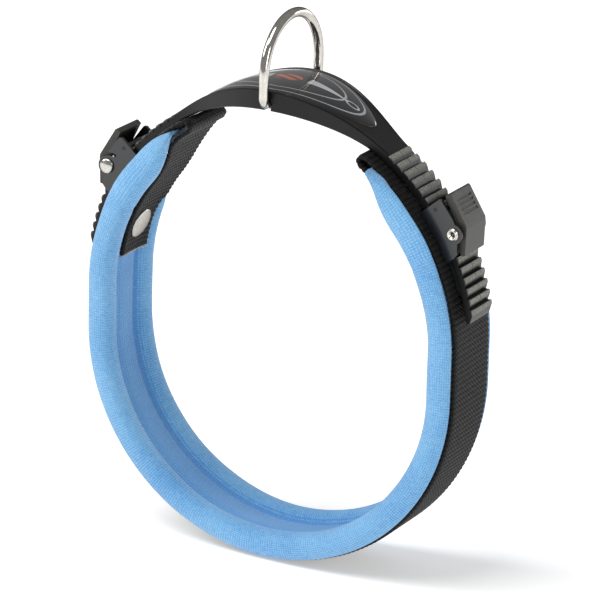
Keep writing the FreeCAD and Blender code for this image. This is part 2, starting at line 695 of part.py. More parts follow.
def lever_spring():
    """Torsion spring round the axle, with one leg out through the wall's window."""
    length = SPRING_PITCH * SPRING_TURNS
    helix = Part.makeHelix(SPRING_PITCH, length, SPRING_RADIUS)
    start = Vector(SPRING_RADIUS, 0, 0)
    circle = Part.Wire([Part.makeCircle(SPRING_WIRE / 2, start, Vector(0, 1, 0))])
    coil = Part.Wire(helix.Edges).makePipeShell([circle], True, True)
    # The helix is wound about Z; this turns it to lie along the axle.
    place = Matrix()
    t_axis = along(AXLE_ANGLE)
    h_axis = radial(AXLE_ANGLE)
    origin = near_axle(0, 0, -length / 2)
    place.A11, place.A12, place.A13, place.A14 = -h_axis.x, t_axis.x, 0, origin.x
    place.A21, place.A22, place.A23, place.A24 = 0, 0, 1, origin.y
    place.A31, place.A32, place.A33, place.A34 = -h_axis.z, t_axis.z, 0, origin.z
    coil = coil.transformGeometry(place)
    # The leg leaves the coil inside the lever, then turns out under the cheek and through the window.
    wire = SPRING_WIRE / 2
    inside = slot_point(SLOT_END_TURN, length / 2)
    outside = slot_point(SLOT_END_TURN, FRAME_INNER_WIDTH / 2 + FRAME_SHEET + SPRING_LEG_PROUD)
    leg = rod(near_axle(0, -SPRING_RADIUS, length / 2), inside, wire)
    return joined(coil, leg, Part.makeSphere(wire, inside), rod(inside, outside, wire))


def guide_centre(y=0.0):
    radius = TOOTH_CREST + GUIDE_CREST_GAP + GUIDE_RADIUS
    return point(GUIDE_ANGLE, radius, y)


def guide_pin(face):
    inner = face * (FRAME_INNER_WIDTH / 2 - GUIDE_PIN_DEPTH)
    outer = face * (FRAME_INNER_WIDTH / 2 + FRAME_SHEET)
    return rod(guide_centre(inner), guide_centre(outer), GUIDE_PIN_RADIUS)


def ladder_guide():
    """Round bar across the frame's entry that keeps the ladder down on the floor."""
    half = FRAME_INNER_WIDTH / 2
    bar = rod(guide_centre(-half), guide_centre(half), GUIDE_RADIUS)
    return joined(bar, guide_pin(-1), guide_pin(1))


def mount_rivet():
    shank = rod(point(RIVET_ANGLE, FLAP_INNER - CAP_RELIEF), point(RIVET_ANGLE, FLOOR_OUTER), RIVET_SHANK)
    return joined(shank, countersink())


def rivet_cap():
    """Broad thin disc on the neck side, so that the rivet cannot pull through the flap."""
    seat = point(RIVET_ANGLE, FLAP_INNER - CAP_RELIEF)
    middle = point(RIVET_ANGLE, FLAP_INNER - CAP_RELIEF - CAP_THICKNESS / 2)
    disc = rod(seat, middle, CAP_RADIUS)
    crown = Part.makeCone(CAP_RADIUS, CAP_RADIUS - CAP_SLOPE, CAP_THICKNESS / 2, middle,
                          -radial(RIVET_ANGLE))
    return joined(disc, crown)


def main():
    os.makedirs("parts", exist_ok=True)
    nodes = {
        "webbing_strap": webbing_strap(),
        "pad_cover": pad_cover(),
        "foam_core_front": foam_core(-1),
        "foam_core_rear": foam_core(1),
        "foam_strip": foam_strip(),
        "ladder_bridge": ladder_bridge(),
        "bridge_label": bridge_label(),
        "d_ring": d_ring(),
    }
    right = {
        "buckle_frame": buckle_frame(),
        "axle_pin": axle_pin(),
        "lever": lever(),
        "claw": claw(),
        "lever_spring": lever_spring(),
        "ladder_guide": ladder_guide(),
        "mount_rivet": mount_rivet(),
        "rivet_cap": rivet_cap(),
    }
    for name, shape in right.items():
        nodes["right_" + name] = shape
        nodes["left_" + name] = half_turn(shape)
    for name, shape in nodes.items():
        print(name, len(shape.Solids), round(shape.Volume, 2), shape.isValid())
        shape.exportStep("parts/" + name + ".step")


main()
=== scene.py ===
import json
import math

import bpy
import numpy as np
from mathutils import Matrix, Quaternion, Vector, noise

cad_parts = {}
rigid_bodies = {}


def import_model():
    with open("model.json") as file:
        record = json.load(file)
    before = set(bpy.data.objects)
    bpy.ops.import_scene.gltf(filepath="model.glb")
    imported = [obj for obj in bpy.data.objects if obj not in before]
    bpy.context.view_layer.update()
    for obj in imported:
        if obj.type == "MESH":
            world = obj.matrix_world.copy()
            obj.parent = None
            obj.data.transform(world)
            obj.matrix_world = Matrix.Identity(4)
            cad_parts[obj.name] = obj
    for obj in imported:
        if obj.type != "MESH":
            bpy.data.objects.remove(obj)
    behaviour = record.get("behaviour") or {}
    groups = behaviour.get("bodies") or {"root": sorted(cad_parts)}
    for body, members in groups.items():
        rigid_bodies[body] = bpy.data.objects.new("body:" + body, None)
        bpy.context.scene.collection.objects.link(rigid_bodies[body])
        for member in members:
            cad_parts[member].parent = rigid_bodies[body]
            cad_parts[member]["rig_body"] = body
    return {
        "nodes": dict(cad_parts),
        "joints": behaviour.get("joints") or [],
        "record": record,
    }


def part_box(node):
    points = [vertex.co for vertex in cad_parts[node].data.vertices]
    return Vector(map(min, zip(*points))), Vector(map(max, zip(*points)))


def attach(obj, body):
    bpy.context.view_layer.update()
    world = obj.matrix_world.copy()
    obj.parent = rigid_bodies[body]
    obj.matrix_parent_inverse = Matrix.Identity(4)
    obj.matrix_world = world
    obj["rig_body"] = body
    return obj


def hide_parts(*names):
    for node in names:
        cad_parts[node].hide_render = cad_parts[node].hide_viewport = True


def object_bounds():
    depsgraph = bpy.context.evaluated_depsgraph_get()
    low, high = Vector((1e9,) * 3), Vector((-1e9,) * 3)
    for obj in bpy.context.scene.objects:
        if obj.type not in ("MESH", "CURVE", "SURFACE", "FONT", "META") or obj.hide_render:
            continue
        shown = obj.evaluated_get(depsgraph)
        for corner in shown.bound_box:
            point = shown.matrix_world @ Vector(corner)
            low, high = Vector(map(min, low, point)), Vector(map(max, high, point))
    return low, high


# Padded dog collar with a moulded ladder strap, two ratchet buckles and a leash ring.
# Metres, in the frame of the CAD model: X across the ring, Y through the neck opening, Z up.
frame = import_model()
cad_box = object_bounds()

MM = 0.001
SLOT_OF = {part["node"]: part["material_slot"] for part in frame["record"]["subparts"]}
JOINT_AT = {joint["name"]: Vector(joint["pos_m"]) for joint in frame["joints"]}

# The oval ring of webbing, read from its CAD box.
strap_low, strap_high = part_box("webbing_strap")
WEB_OUTER = strap_high.x
WEB_HALF_WIDTH = -strap_low.y
HALF_STRAIGHT = -strap_low.z - WEB_OUTER
WEB_THICKNESS = 1.8 * MM
WEB_INNER = WEB_OUTER - WEB_THICKNESS
WEB_MIDDLE = WEB_OUTER - WEB_THICKNESS / 2
RIB_PITCH = 2.0 * MM
RIB_DEPTH = 0.32 * MM
SELVEDGE_BUMP = 0.22 * MM
# Shares of the way round the strap's section: one face, and one rounded edge.
FACE_SHARE = 0.37
EDGE_SHARE = 0.13

# The strap's ends: folded in at one angle from the top, riveted down at another.
FOLD_ANGLE = math.radians(29.0)
FOLD_BEND = 1.7 * MM
FOLD_CENTRE = WEB_INNER - 0.8 * MM
FLAP_END_ANGLE = math.radians(81.0)
FLAP_CLIMB_ANGLE = math.radians(27.0)
FLAP_SEATED_ANGLE = math.radians(53.0)
FLAP_SIDE_GAP = -0.2 * MM
FLAP_CURL = 0.55 * MM
FLAP_WAVE = 0.25 * MM
# Past the buckle's entry the free end of the ring springs up towards the ladder.
END_LIFT = 1.45 * MM
END_LIFT_ANGLE = math.radians(46.0)

# The padding: two rolls with a valley between them.
ROLL_RADIUS = 4.3 * MM
ROLL_Y = 12.2 * MM
PAD_EDGE = ROLL_Y + ROLL_RADIUS
VALLEY_DEPTH = 6.4 * MM
VALLEY_ANGLE = math.radians(61.0)
FRONT_TIP = math.radians(31.5), math.radians(50.0)
REAR_TIP = math.radians(56.0), math.radians(69.0)
TIP_RADIUS = 0.6 * MM
# The rolls bulge past the strap's edges and hug them, the front one more so near its tip.
HUG_START = 0.35 * MM
HUG_RUN = 1.6 * MM
HUG_DEPTH = 1.7 * MM
TIP_HUG = 1.2 * MM
TIP_HUG_ANGLE = math.radians(72.0)
# The sleeve lies this far off the webbing where it has no foam, and its valley dips towards the rear.
SLEEVE_THICKNESS = 0.3 * MM
VALLEY_DIP = 1.1 * MM
REAR_CREASE = 1.9 * MM
FRONT_CREASE = 0.8 * MM
UNEVEN_DEPTH = 0.35 * MM
# Noise scale for swells about 22 mm long.
UNEVEN_SCALE = 45.0
# Shares of the way round the sleeve's section: one roll, and the valley.
ROLL_SHARE = 0.36
VALLEY_SHARE = 0.16
KNIT_PITCH = 1.0 * MM
# The knit's UV runs round the section in millimetres. The valley has this middle and half width.
SLEEVE_AROUND = 82.0
VALLEY_UV = 36.1, 6.6
# The foam's height under its sleeve, as a share of its free height: a roll, less at its tip, and the strip.
FOAM_SETTLE = 0.82
FOAM_TIP_SETTLE = 0.4
STRIP_SETTLE = 0.5
SWELL_FRAMES = 14
SWELL_CAP = 0.35 * MM

# The bridge's label: a lens between two rims.
LABEL_END = math.radians(24.6)
LABEL_CROWN = 1.4 * MM
LABEL_SEAT = 0.6 * MM
LABEL_EDGE = 0.2 * MM
LABEL_INSET = 1.5 * MM
LABEL_TIP = 0.6 * MM
# Share of the way round the label's section that is its domed top.
LABEL_TOP_SHARE = 0.8
BRIDGE_TAPER_ANGLE = math.radians(33.0)

# The ladder's teeth.
TOOTH_CREST = WEB_OUTER + 4.6 * MM
TOOTH_START = math.radians(33.0)
LADDER_HALF_WIDTH = 7.1 * MM

# Hardware.
RIVET_ANGLE = math.radians(71.0)
FLAP_NECK_SIDE = WEB_INNER - VALLEY_DEPTH - 0.1 * MM - WEB_THICKNESS
RIVET_CAP_RADIUS = 5.6 * MM
RING_WIRE = 3.5 * MM
RING_CORNER = 2.3 * MM
AXLE_RADIUS = 1.25 * MM
AXLE_HALF_LENGTH = 8.8 * MM
AXLE_BORE = 0.7 * MM
AXLE_FLARE = 2.2 * MM
AXLE_HEAD = 2.8 * MM


# --- Small helpers -------------------------------------------------------------------------

def deselect():
    bpy.ops.object.select_all(action="DESELECT")


def activate(piece):
    deselect()
    piece.select_set(True)
    bpy.context.view_layer.objects.active = piece


def edit(piece, *steps):
    """Runs edit-mode steps on the whole piece, each a function and its settings."""
    activate(piece)
    bpy.ops.object.mode_set(mode="EDIT")
    bpy.ops.mesh.select_all(action="SELECT")
    for operator, settings in steps:
        operator(**settings)
    bpy.ops.object.mode_set(mode="OBJECT")


def apply_modifier(piece, kind, **settings):
    activate(piece)
    modifier = piece.modifiers.new(kind, kind)
    for name, value in settings.items():
        setattr(modifier, name, value)
    bpy.ops.object.modifier_apply(modifier=modifier.name)


def smooth(piece, angle=40):
    activate(piece)
    bpy.ops.object.shade_smooth_by_angle(angle=math.radians(angle))


def hand_over(piece, material, *nodes):
    """Gives a finished piece its material and its body, and hides the CAD nodes that it stands for."""
    piece.data.materials.clear()
    piece.data.materials.append(material)
    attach(piece, frame["nodes"][nodes[0]]["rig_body"])
    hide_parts(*nodes)
    return piece


def extra(piece, material, body):
    """A piece with no CAD node of its own."""
    piece.data.materials.clear()
    piece.data.materials.append(material)
    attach(piece, body)
    return piece


def get_points(mesh):
    flat = np.empty(len(mesh.vertices) * 3, np.float32)
    mesh.vertices.foreach_get("co", flat)
    return flat.reshape(-1, 3).astype(float)


def set_points(mesh, points):
    mesh.vertices.foreach_set("co", np.asarray(points, np.float32).ravel())
    mesh.update()


def rolled_grid(name, along, around, place, pattern):
    """A grid primitive rolled into a closed tube by a formula, with flat ends.

    place(u, v) gives the corners, and v = 0 meets v = 1. pattern(u, v) gives the UV map."""
    deselect()
    bpy.ops.mesh.primitive_grid_add(x_subdivisions=along, y_subdivisions=around, size=1,
                                    calc_uvs=True, location=(0, 0, 0))
    piece = bpy.context.object
    piece.name = name
    mesh = piece.data
    flat = get_points(mesh)
    set_points(mesh, place(flat[:, 0] + 0.5, flat[:, 1] + 0.5))
    layer = mesh.uv_layers.active
    uv = np.empty(len(mesh.loops) * 2, np.float32)
    layer.data.foreach_get("uv", uv)
    uv = uv.reshape(-1, 2).astype(float)
    layer.data.foreach_set("uv", np.asarray(pattern(uv[:, 0], uv[:, 1]), np.float32).ravel())
    # The seam is merged, and each open end gets a face.
    edit(piece,
         (bpy.ops.mesh.remove_doubles, {"threshold": 1e-6}),
         (bpy.ops.mesh.select_all, {"action": "DESELECT"}),
         (bpy.ops.mesh.select_mode, {"type": "EDGE"}),
         (bpy.ops.mesh.select_non_manifold, {"extend": False}),
         (bpy.ops.mesh.edge_face_add, {}),
         (bpy.ops.mesh.select_mode, {"type": "VERT"}),
         (bpy.ops.mesh.select_all, {"action": "SELECT"}),
         (bpy.ops.mesh.normals_make_consistent, {"inside": False}))
    return piece


def oval(distance, reference):
    """Where a distance from the bottom middle lies on the ring, measured at a reference radius.

    Gives the height of the arc's centre, the outward direction's x and z, and the angle from the top."""
    side = np.sign(distance)
    run = np.abs(distance)
    quarter = reference * math.pi / 2
    turn = np.clip(run / reference, 0, math.pi / 2)
    centre_z = np.clip(run - quarter, 0, 2 * HALF_STRAIGHT) - HALF_STRAIGHT
    turn = turn + np.clip((run - quarter - 2 * HALF_STRAIGHT) / reference, 0, None)
    return centre_z, side * np.sin(turn), -np.cos(turn), math.pi - turn


def half_length(reference, end_angle):
    """Distance from the bottom middle to an angle from the top, at a reference radius."""
    return reference * (math.pi - end_angle) + 2 * HALF_STRAIGHT


def at(angle, radius, y=0.0):
    """A point at an angle from the top about the upper arc's centre."""
    return Vector((radius * math.sin(angle), y, HALF_STRAIGHT + radius * math.cos(angle)))


def outward(angle):
    return Vector((math.sin(angle), 0, math.cos(angle)))


def ease(share):
    """Goes smoothly from 0 to 1."""
    share = np.clip(share, 0, 1)
    return share * share * (3 - 2 * share)


def end_lift(angle):
    """How far the ring's free end has sprung up at an angle from the top."""
    return END_LIFT * ease((END_LIFT_ANGLE - angle) / (END_LIFT_ANGLE - FOLD_ANGLE))


def ring_place(points):
    """Where points lie on the ring: the arc's centre height, the outward direction, and the radius."""
    centre_z = np.clip(points[:, 2], -HALF_STRAIGHT, HALF_STRAIGHT)
    direction = np.stack([points[:, 0], np.zeros(len(points)), points[:, 2] - centre_z], 1)
    radius = np.linalg.norm(direction, axis=1)
    return centre_z, direction / radius[:, None], radius


# --- Materials -----------------------------------------------------------------------------

# Plated metal reflects less at its edges than a perfect mirror.
EDGE_TINT = 0.22, 0.22, 0.22, 1.0


def linear(hex_colour):
    """An sRGB hex value as linear red, green, blue and alpha."""
    channels = [int(hex_colour[i:i + 2], 16) / 255 for i in (1, 3, 5)]
    return [c / 12.92 if c <= 0.04045 else ((c + 0.055) / 1.055) ** 2.4 for c in channels] + [1.0]


def add(tree, kind, inputs=None, stops=(), **settings):
    """Adds a node with its settings, socket values, links and colour stops, and gives its outputs."""
    node = tree.nodes.new("ShaderNode" + kind)
    for name, value in settings.items():
        setattr(node, name, value)
    for socket, value in (inputs or {}).items():
        if isinstance(value, bpy.types.NodeSocket):
            tree.links.new(value, node.inputs[socket])
        else:
            node.inputs[socket].default_value = value
    for number, (position, colour) in enumerate(stops):
        node.color_ramp.elements[number].position = position
        node.color_ramp.elements[number].color = linear(colour)
    return node.outputs


def surface(name, **sockets):
    """A new material: its node tree and its main shader with constant sockets set."""
    material = bpy.data.materials.new(name)
    material.use_nodes = True
    tree = material.node_tree
    shader = tree.nodes["Principled BSDF"]
    for socket, value in sockets.items():
        shader.inputs[socket.replace("_", " ")].default_value = value
    return material, tree, shader


def finish_surface(tree, shader, **links):
    """Links patterns to the main shader's sockets."""
    for socket, output in links.items():
        tree.links.new(output, shader.inputs[socket.replace("_", " ")])


def per_mm(pitch):
    """Noise scale on Object coordinates for a pattern of that many millimetres."""
    return 1000.0 / pitch


def nylon_webbing():
    """Woven nylon: matt black, with the yarns of each rib catching a soft grey light."""
    material, tree, shader = surface("nylon_webbing", Roughness=0.7, Sheen_Weight=0.02,
                                     Sheen_Roughness=0.4, Specular_IOR_Level=0.2)
    place = add(tree, "TexCoord")["Object"]
    uv = add(tree, "UVMap")["UV"]
    # UV is in millimetres: the first number runs along the strap.
    along = add(tree, "SeparateXYZ", {"Vector": uv})["X"]
    phase = add(tree, "Math", {0: along, 1: math.pi / (RIB_PITCH / MM)}, operation="MULTIPLY")[0]
    wave = add(tree, "Math", {0: phase}, operation="SINE")[0]
    crest = add(tree, "Math", {0: wave}, operation="ABSOLUTE")[0]
    # Two yarns lie side by side in each rib, slanted by the weave.
    yarn = add(tree, "TexWave", {"Vector": uv, "Scale": 0.42, "Distortion": 1.2, "Detail": 2.0,
                                 "Detail Scale": 2.0}, wave_type="BANDS", bands_direction="DIAGONAL")["Fac"]
    fuzz = add(tree, "TexNoise", {"Vector": place, "Scale": per_mm(1.6),
                                  "Detail": 3.0, "Roughness": 0.6})["Fac"]
    mixed = add(tree, "Math", {0: yarn, 1: fuzz}, operation="MULTIPLY")[0]
    # Painted shade and highlight: the rib factor paints the grooves darker and the crests a lighter grey.
    tone = add(tree, "Math", {0: mixed, 1: crest}, operation="MULTIPLY")[0]
    colour = add(tree, "ValToRGB", {"Fac": tone}, [(0.08, "#050505"), (0.6, "#262624")])["Color"]
    gloss = add(tree, "MapRange", {"Value": fuzz, "To Min": 0.5, "To Max": 0.74})["Result"]
    relief = add(tree, "Bump", {"Height": mixed, "Distance": 0.25 * MM, "Strength": 0.9})["Normal"]
    finish_surface(tree, shader, Base_Color=colour, Roughness=gloss, Normal=relief)
    return material


def sealed_edge():
    """Nylon melted by a hot knife: the cut end is a hard, paler and slightly shiny bead."""
    material, tree, shader = surface("heat_sealed_nylon", Roughness=0.35)
    place = add(tree, "TexCoord")["Object"]
    grain = add(tree, "TexNoise", {"Vector": place, "Scale": per_mm(0.9),
                                   "Detail": 3.0, "Roughness": 0.6})["Fac"]
    colour = add(tree, "ValToRGB", {"Fac": grain}, [(0.3, "#7A7A77"), (0.7, "#C4C4BE")])["Color"]
    relief = add(tree, "Bump", {"Height": grain, "Distance": 0.2 * MM, "Strength": 1.0})["Normal"]
    finish_surface(tree, shader, Base_Color=colour, Normal=relief)
    return material


def knitted_polyester():
    """Stretch knit over foam: clear sky blue and matt, with a fine dotted stitch."""
    material, tree, shader = surface("knitted_polyester", Roughness=0.7, Sheen_Weight=0.35,
                                     Sheen_Roughness=0.5, Specular_IOR_Level=0.3)
    place = add(tree, "TexCoord")["Object"]
    uv = add(tree, "UVMap")["UV"]
    # Real stitches are about half this pitch, which is too fine to show.
    bands = {"Vector": uv, "Scale": 0.314 / (KNIT_PITCH / MM), "Detail": 2.0, "Detail Scale": 2.0}
    wales = add(tree, "TexWave", {**bands, "Distortion": 2.2},
                wave_type="BANDS", bands_direction="X")["Fac"]
    courses = add(tree, "TexWave", {**bands, "Distortion": 2.4},
                  wave_type="BANDS", bands_direction="Y")["Fac"]
    stitches = add(tree, "Math", {0: wales, 1: courses}, operation="MULTIPLY")[0]
    pile = add(tree, "TexNoise", {"Vector": place, "Scale": per_mm(1.5),
                                  "Detail": 4.0, "Roughness": 0.6})["Fac"]
    cloud = add(tree, "TexNoise", {"Vector": place, "Scale": per_mm(28.0),
                                   "Detail": 2.0, "Roughness": 0.6})["Fac"]
    tone = add(tree, "Math", {0: stitches, 1: pile}, operation="ADD")[0]
    tone = add(tree, "Math", {0: tone, 1: cloud}, operation="ADD")[0]
    tone = add(tree, "Math", {0: tone, 1: 0.45}, operation="MULTIPLY")[0]
    colour = add(tree, "ValToRGB", {"Fac": tone}, [(0.36, "#5495D0"), (0.76, "#8CC4EA")])["Color"]
    # Painted shade: the valley between the rolls, where shade falls, is painted a shade deeper.
    around = add(tree, "SeparateXYZ", {"Vector": uv})["Y"]
    valley = add(tree, "Math", {0: around, 1: VALLEY_UV[0], 2: VALLEY_UV[1]}, operation="COMPARE")[0]
    valley_shade = add(tree, "Math", {0: valley, 1: 0.75}, operation="MULTIPLY")[0]
    colour = add(tree, "Mix", {0: valley_shade, 6: colour, 7: linear("#5592CC")}, data_type="RGBA")[2]
    gloss = add(tree, "MapRange", {"Value": pile, "To Min": 0.6, "To Max": 0.85})["Result"]
    relief = add(tree, "Bump", {"Height": stitches, "Distance": 0.22 * MM, "Strength": 1.0})["Normal"]
    finish_surface(tree, shader, Base_Color=colour, Roughness=gloss, Normal=relief)
    return material


def moulded_plastic(name, dark, light, rough, grain, depth):
    """Glass-filled polyamide or acetal from a fine eroded mould: satin, with a faint grain."""
    material, tree, shader = surface(name, Roughness=rough, Specular_IOR_Level=0.5)
    place = add(tree, "TexCoord")["Object"]
    skin = add(tree, "TexNoise", {"Vector": place, "Scale": per_mm(grain),
                                  "Detail": 2.0, "Roughness": 0.6})["Fac"]
    flow = add(tree, "TexNoise", {"Vector": place, "Scale": per_mm(14.0),
                                  "Detail": 2.0, "Roughness": 0.6})["Fac"]
    colour = add(tree, "ValToRGB", {"Fac": flow}, [(0.3, dark), (0.7, light)])["Color"]
    gloss = add(tree, "MapRange", {"Value": flow, "To Min": rough - 0.07, "To Max": rough + 0.07})["Result"]
    relief = add(tree, "Bump", {"Height": skin, "Distance": depth * MM, "Strength": 0.6})["Normal"]
    finish_surface(tree, shader, Base_Color=colour, Roughness=gloss, Normal=relief)
    return material


def ladder_plastic():
    """The bridge's polyamide: near black and satin, with a painted highlight along the teeth's tops."""
    material, tree, shader = surface("satin_polyamide", Specular_IOR_Level=0.3)
    place = add(tree, "TexCoord")["Object"]
    split = add(tree, "SeparateXYZ", {"Vector": place})
    side = add(tree, "Math", {0: split["X"]}, operation="ABSOLUTE")[0]
    rise = add(tree, "Math", {0: split["Z"], 1: HALF_STRAIGHT}, operation="SUBTRACT")[0]
    spoke = add(tree, "CombineXYZ", {"X": side, "Y": rise})[0]
    radius = add(tree, "VectorMath", {0: spoke}, operation="LENGTH")["Value"]
    # Painted highlight: the teeth's outer tops, near the crest, are painted pale grey as if lit, and made
    # matt.
    tops = add(tree, "MapRange", {"Value": radius, "From Min": TOOTH_CREST - 0.7 * MM,
                                  "From Max": TOOTH_CREST - 0.1 * MM})["Result"]
    toothed = add(tree, "Math", {0: side, 1: TOOTH_CREST * math.sin(TOOTH_START)},
                  operation="GREATER_THAN")[0]
    painted_top_highlight = add(tree, "Math", {0: tops, 1: toothed}, operation="MULTIPLY")[0]
    # The mould's parting line runs down the middle of the teeth.
    parting = add(tree, "Math", {0: split["Y"], 1: 0.0, 2: 0.16 * MM}, operation="COMPARE")[0]
    kept = add(tree, "Math", {0: 1.0, 1: parting}, operation="SUBTRACT")[0]
    painted_top_highlight = add(tree, "Math", {0: painted_top_highlight, 1: kept}, operation="MULTIPLY")[0]
    flow = add(tree, "TexNoise", {"Vector": place, "Scale": per_mm(14.0),
                                  "Detail": 2.0, "Roughness": 0.6})["Fac"]
    skin = add(tree, "TexNoise", {"Vector": place, "Scale": per_mm(0.7),
                                  "Detail": 2.0, "Roughness": 0.6})["Fac"]
    body = add(tree, "ValToRGB", {"Fac": flow}, [(0.3, "#0B0B0B"), (0.7, "#121211")])["Color"]
    highlight_tone = add(tree, "ValToRGB", {"Fac": skin}, [(0.3, "#5E5E57"), (0.7, "#8E8E86")])["Color"]
    colour = add(tree, "Mix", {0: painted_top_highlight, 6: body, 7: highlight_tone}, data_type="RGBA")[2]
    gloss = add(tree, "MapRange", {"Value": painted_top_highlight, "To Min": 0.34, "To Max": 0.6})["Result"]
    relief = add(tree, "Bump", {"Height": skin, "Distance": 0.05 * MM, "Strength": 0.6})["Normal"]
    finish_surface(tree, shader, Base_Color=colour, Roughness=gloss, Normal=relief)
    return material


def metal(name, dark, light, rough, grain=3.0, depth=0.0):
    """Plated or drawn metal: its tone and gloss drift slightly over the surface."""
    material, tree, shader = surface(name, Metallic=1.0, Roughness=rough, Specular_Tint=EDGE_TINT)
    place = add(tree, "TexCoord")["Object"]
    drift = add(tree, "TexNoise", {"Vector": place, "Scale": per_mm(grain),
                                   "Detail": 4.0, "Roughness": 0.6})["Fac"]
    colour = add(tree, "ValToRGB", {"Fac": drift}, [(0.3, dark), (0.7, light)])["Color"]
    gloss = add(tree, "MapRange", {"Value": drift, "To Min": rough * 0.7, "To Max": rough * 1.4})["Result"]
    finish_surface(tree, shader, Base_Color=colour, Roughness=gloss)
    if depth:
        relief = add(tree, "Bump", {"Height": drift, "Distance": depth * MM, "Strength": 0.5})["Normal"]
        finish_surface(tree, shader, Normal=relief)
    return material


def stoved_lacquer():
    """Black stoving lacquer on pressed steel: deep blue-black, glossy, with slight orange peel."""
    material, tree, shader = surface("stoved_lacquer", Roughness=0.32, Coat_Weight=0.6,
                                     Coat_Roughness=0.12)
    place = add(tree, "TexCoord")["Object"]
    peel = add(tree, "TexNoise", {"Vector": place, "Scale": per_mm(2.2),
                                  "Detail": 2.0, "Roughness": 0.6})["Fac"]
    colour = add(tree, "ValToRGB", {"Fac": peel}, [(0.3, "#0B0D10"), (0.7, "#14171C")])["Color"]
    relief = add(tree, "Bump", {"Height": peel, "Distance": 0.06 * MM, "Strength": 0.5})["Normal"]
    finish_surface(tree, shader, Base_Color=colour, Normal=relief)
    return material


def label_oval(tree, along, across, middle, reach):
    """Squared distance from an oval's middle on the label: less than 1 inside the oval."""
    squares = []
    for value, centre, half in zip((along, across), middle, reach):
        offset = add(tree, "Math", {0: value, 1: centre}, operation="SUBTRACT")[0]
        share = add(tree, "Math", {0: offset, 1: half}, operation="DIVIDE")[0]
        squares.append(add(tree, "Math", {0: share, 1: share}, operation="MULTIPLY")[0])
    return add(tree, "Math", {0: squares[0], 1: squares[1]}, operation="ADD")[0]


def printed_resin():
    """Clear domed resin over a printed foil: black, silver lens outlines and wedges, an orange flash."""
    material, tree, shader = surface("domed_resin_on_foil", Roughness=0.3, Coat_Weight=1.0,
                                     Coat_Roughness=0.03)
    place = add(tree, "TexCoord")["Object"]
    uv = add(tree, "UVMap")["UV"]
    # UV runs from -1 to 1 along the label, and across it in the same way at its widest.
    split = add(tree, "SeparateXYZ", {"Vector": uv})
    across = split["Y"]
    along = add(tree, "Math", {0: split["X"]}, operation="ABSOLUTE")[0]
    beside = add(tree, "Math", {0: across}, operation="ABSOLUTE")[0]
    drift = add(tree, "TexNoise", {"Vector": place, "Scale": per_mm(20.0),
                                   "Detail": 2.0, "Roughness": 0.6})["Fac"]
    ground = add(tree, "ValToRGB", {"Fac": drift}, [(0.3, "#070709"), (0.7, "#101115")])["Color"]
    # Two lens outlines, one in the other, that sharpen towards the ends.
    pointed = add(tree, "Math", {0: along, 1: 1.35}, operation="POWER")[0]
    square = add(tree, "Math", {0: across, 1: across}, operation="MULTIPLY")[0]
    level = add(tree, "Math", {0: pointed, 1: square}, operation="ADD")[0]
    outer_line = add(tree, "Math", {0: level, 1: 0.78, 2: 0.018}, operation="COMPARE")[0]
    inner_line = add(tree, "Math", {0: level, 1: 0.5, 2: 0.016}, operation="COMPARE")[0]
    # A bright wedge points to each end, with a dark drop at its tip.
    slant = add(tree, "Math", {0: beside, 1: 3.2}, operation="MULTIPLY")[0]
    slant = add(tree, "Math", {0: slant, 1: along}, operation="ADD")[0]
    narrow = add(tree, "Math", {0: slant, 1: 0.66}, operation="LESS_THAN")[0]
    away = add(tree, "Math", {0: along, 1: 0.2}, operation="GREATER_THAN")[0]
    wedge = add(tree, "Math", {0: narrow, 1: away}, operation="MULTIPLY")[0]
    inside = label_oval(tree, along, across, (0.7, 0.0), (0.085, 0.1))
    rim = add(tree, "Math", {0: inside, 1: 1.0}, operation="LESS_THAN")[0]
    drop = add(tree, "Math", {0: inside, 1: 0.5}, operation="LESS_THAN")[0]
    # The flash is a few slanted bars near the middle.
    inside = label_oval(tree, split["X"], across, (-0.02, -0.04), (0.15, 0.2))
    near = add(tree, "Math", {0: inside, 1: 1.0}, operation="LESS_THAN")[0]
    bars = add(tree, "TexWave", {"Vector": uv, "Scale": 2.6, "Distortion": 0.0},
               wave_type="BANDS", bands_direction="DIAGONAL")["Fac"]
    bars = add(tree, "Math", {0: bars, 1: 0.3}, operation="GREATER_THAN")[0]
    flash = add(tree, "Math", {0: near, 1: bars}, operation="MULTIPLY")[0]
    colour = ground
    for mask, tone in ((outer_line, "#9EA2A8"), (inner_line, "#9EA2A8"), (wedge, "#B4B7BB"),
                       (rim, "#B4B7BB"), (drop, "#060607"), (flash, "#B8502A")):
        colour = add(tree, "Mix", {0: mask, 6: colour, 7: linear(tone)}, data_type="RGBA")[2]
    finish_surface(tree, shader, Base_Color=colour)
    return material


def open_foam():
    """Cut polyurethane foam: pale and matt, with open cells."""
    material, tree, shader = surface("open_foam", Roughness=0.9)
    place = add(tree, "TexCoord")["Object"]
    cells = add(tree, "TexNoise", {"Vector": place, "Scale": per_mm(1.2),
                                   "Detail": 3.0, "Roughness": 0.6})["Fac"]
    colour = add(tree, "ValToRGB", {"Fac": cells}, [(0.3, "#BDBCB2"), (0.7, "#DEDDD5")])["Color"]
    relief = add(tree, "Bump", {"Height": cells, "Distance": 0.4 * MM, "Strength": 1.0})["Normal"]
    finish_surface(tree, shader, Base_Color=colour, Normal=relief)
    return material


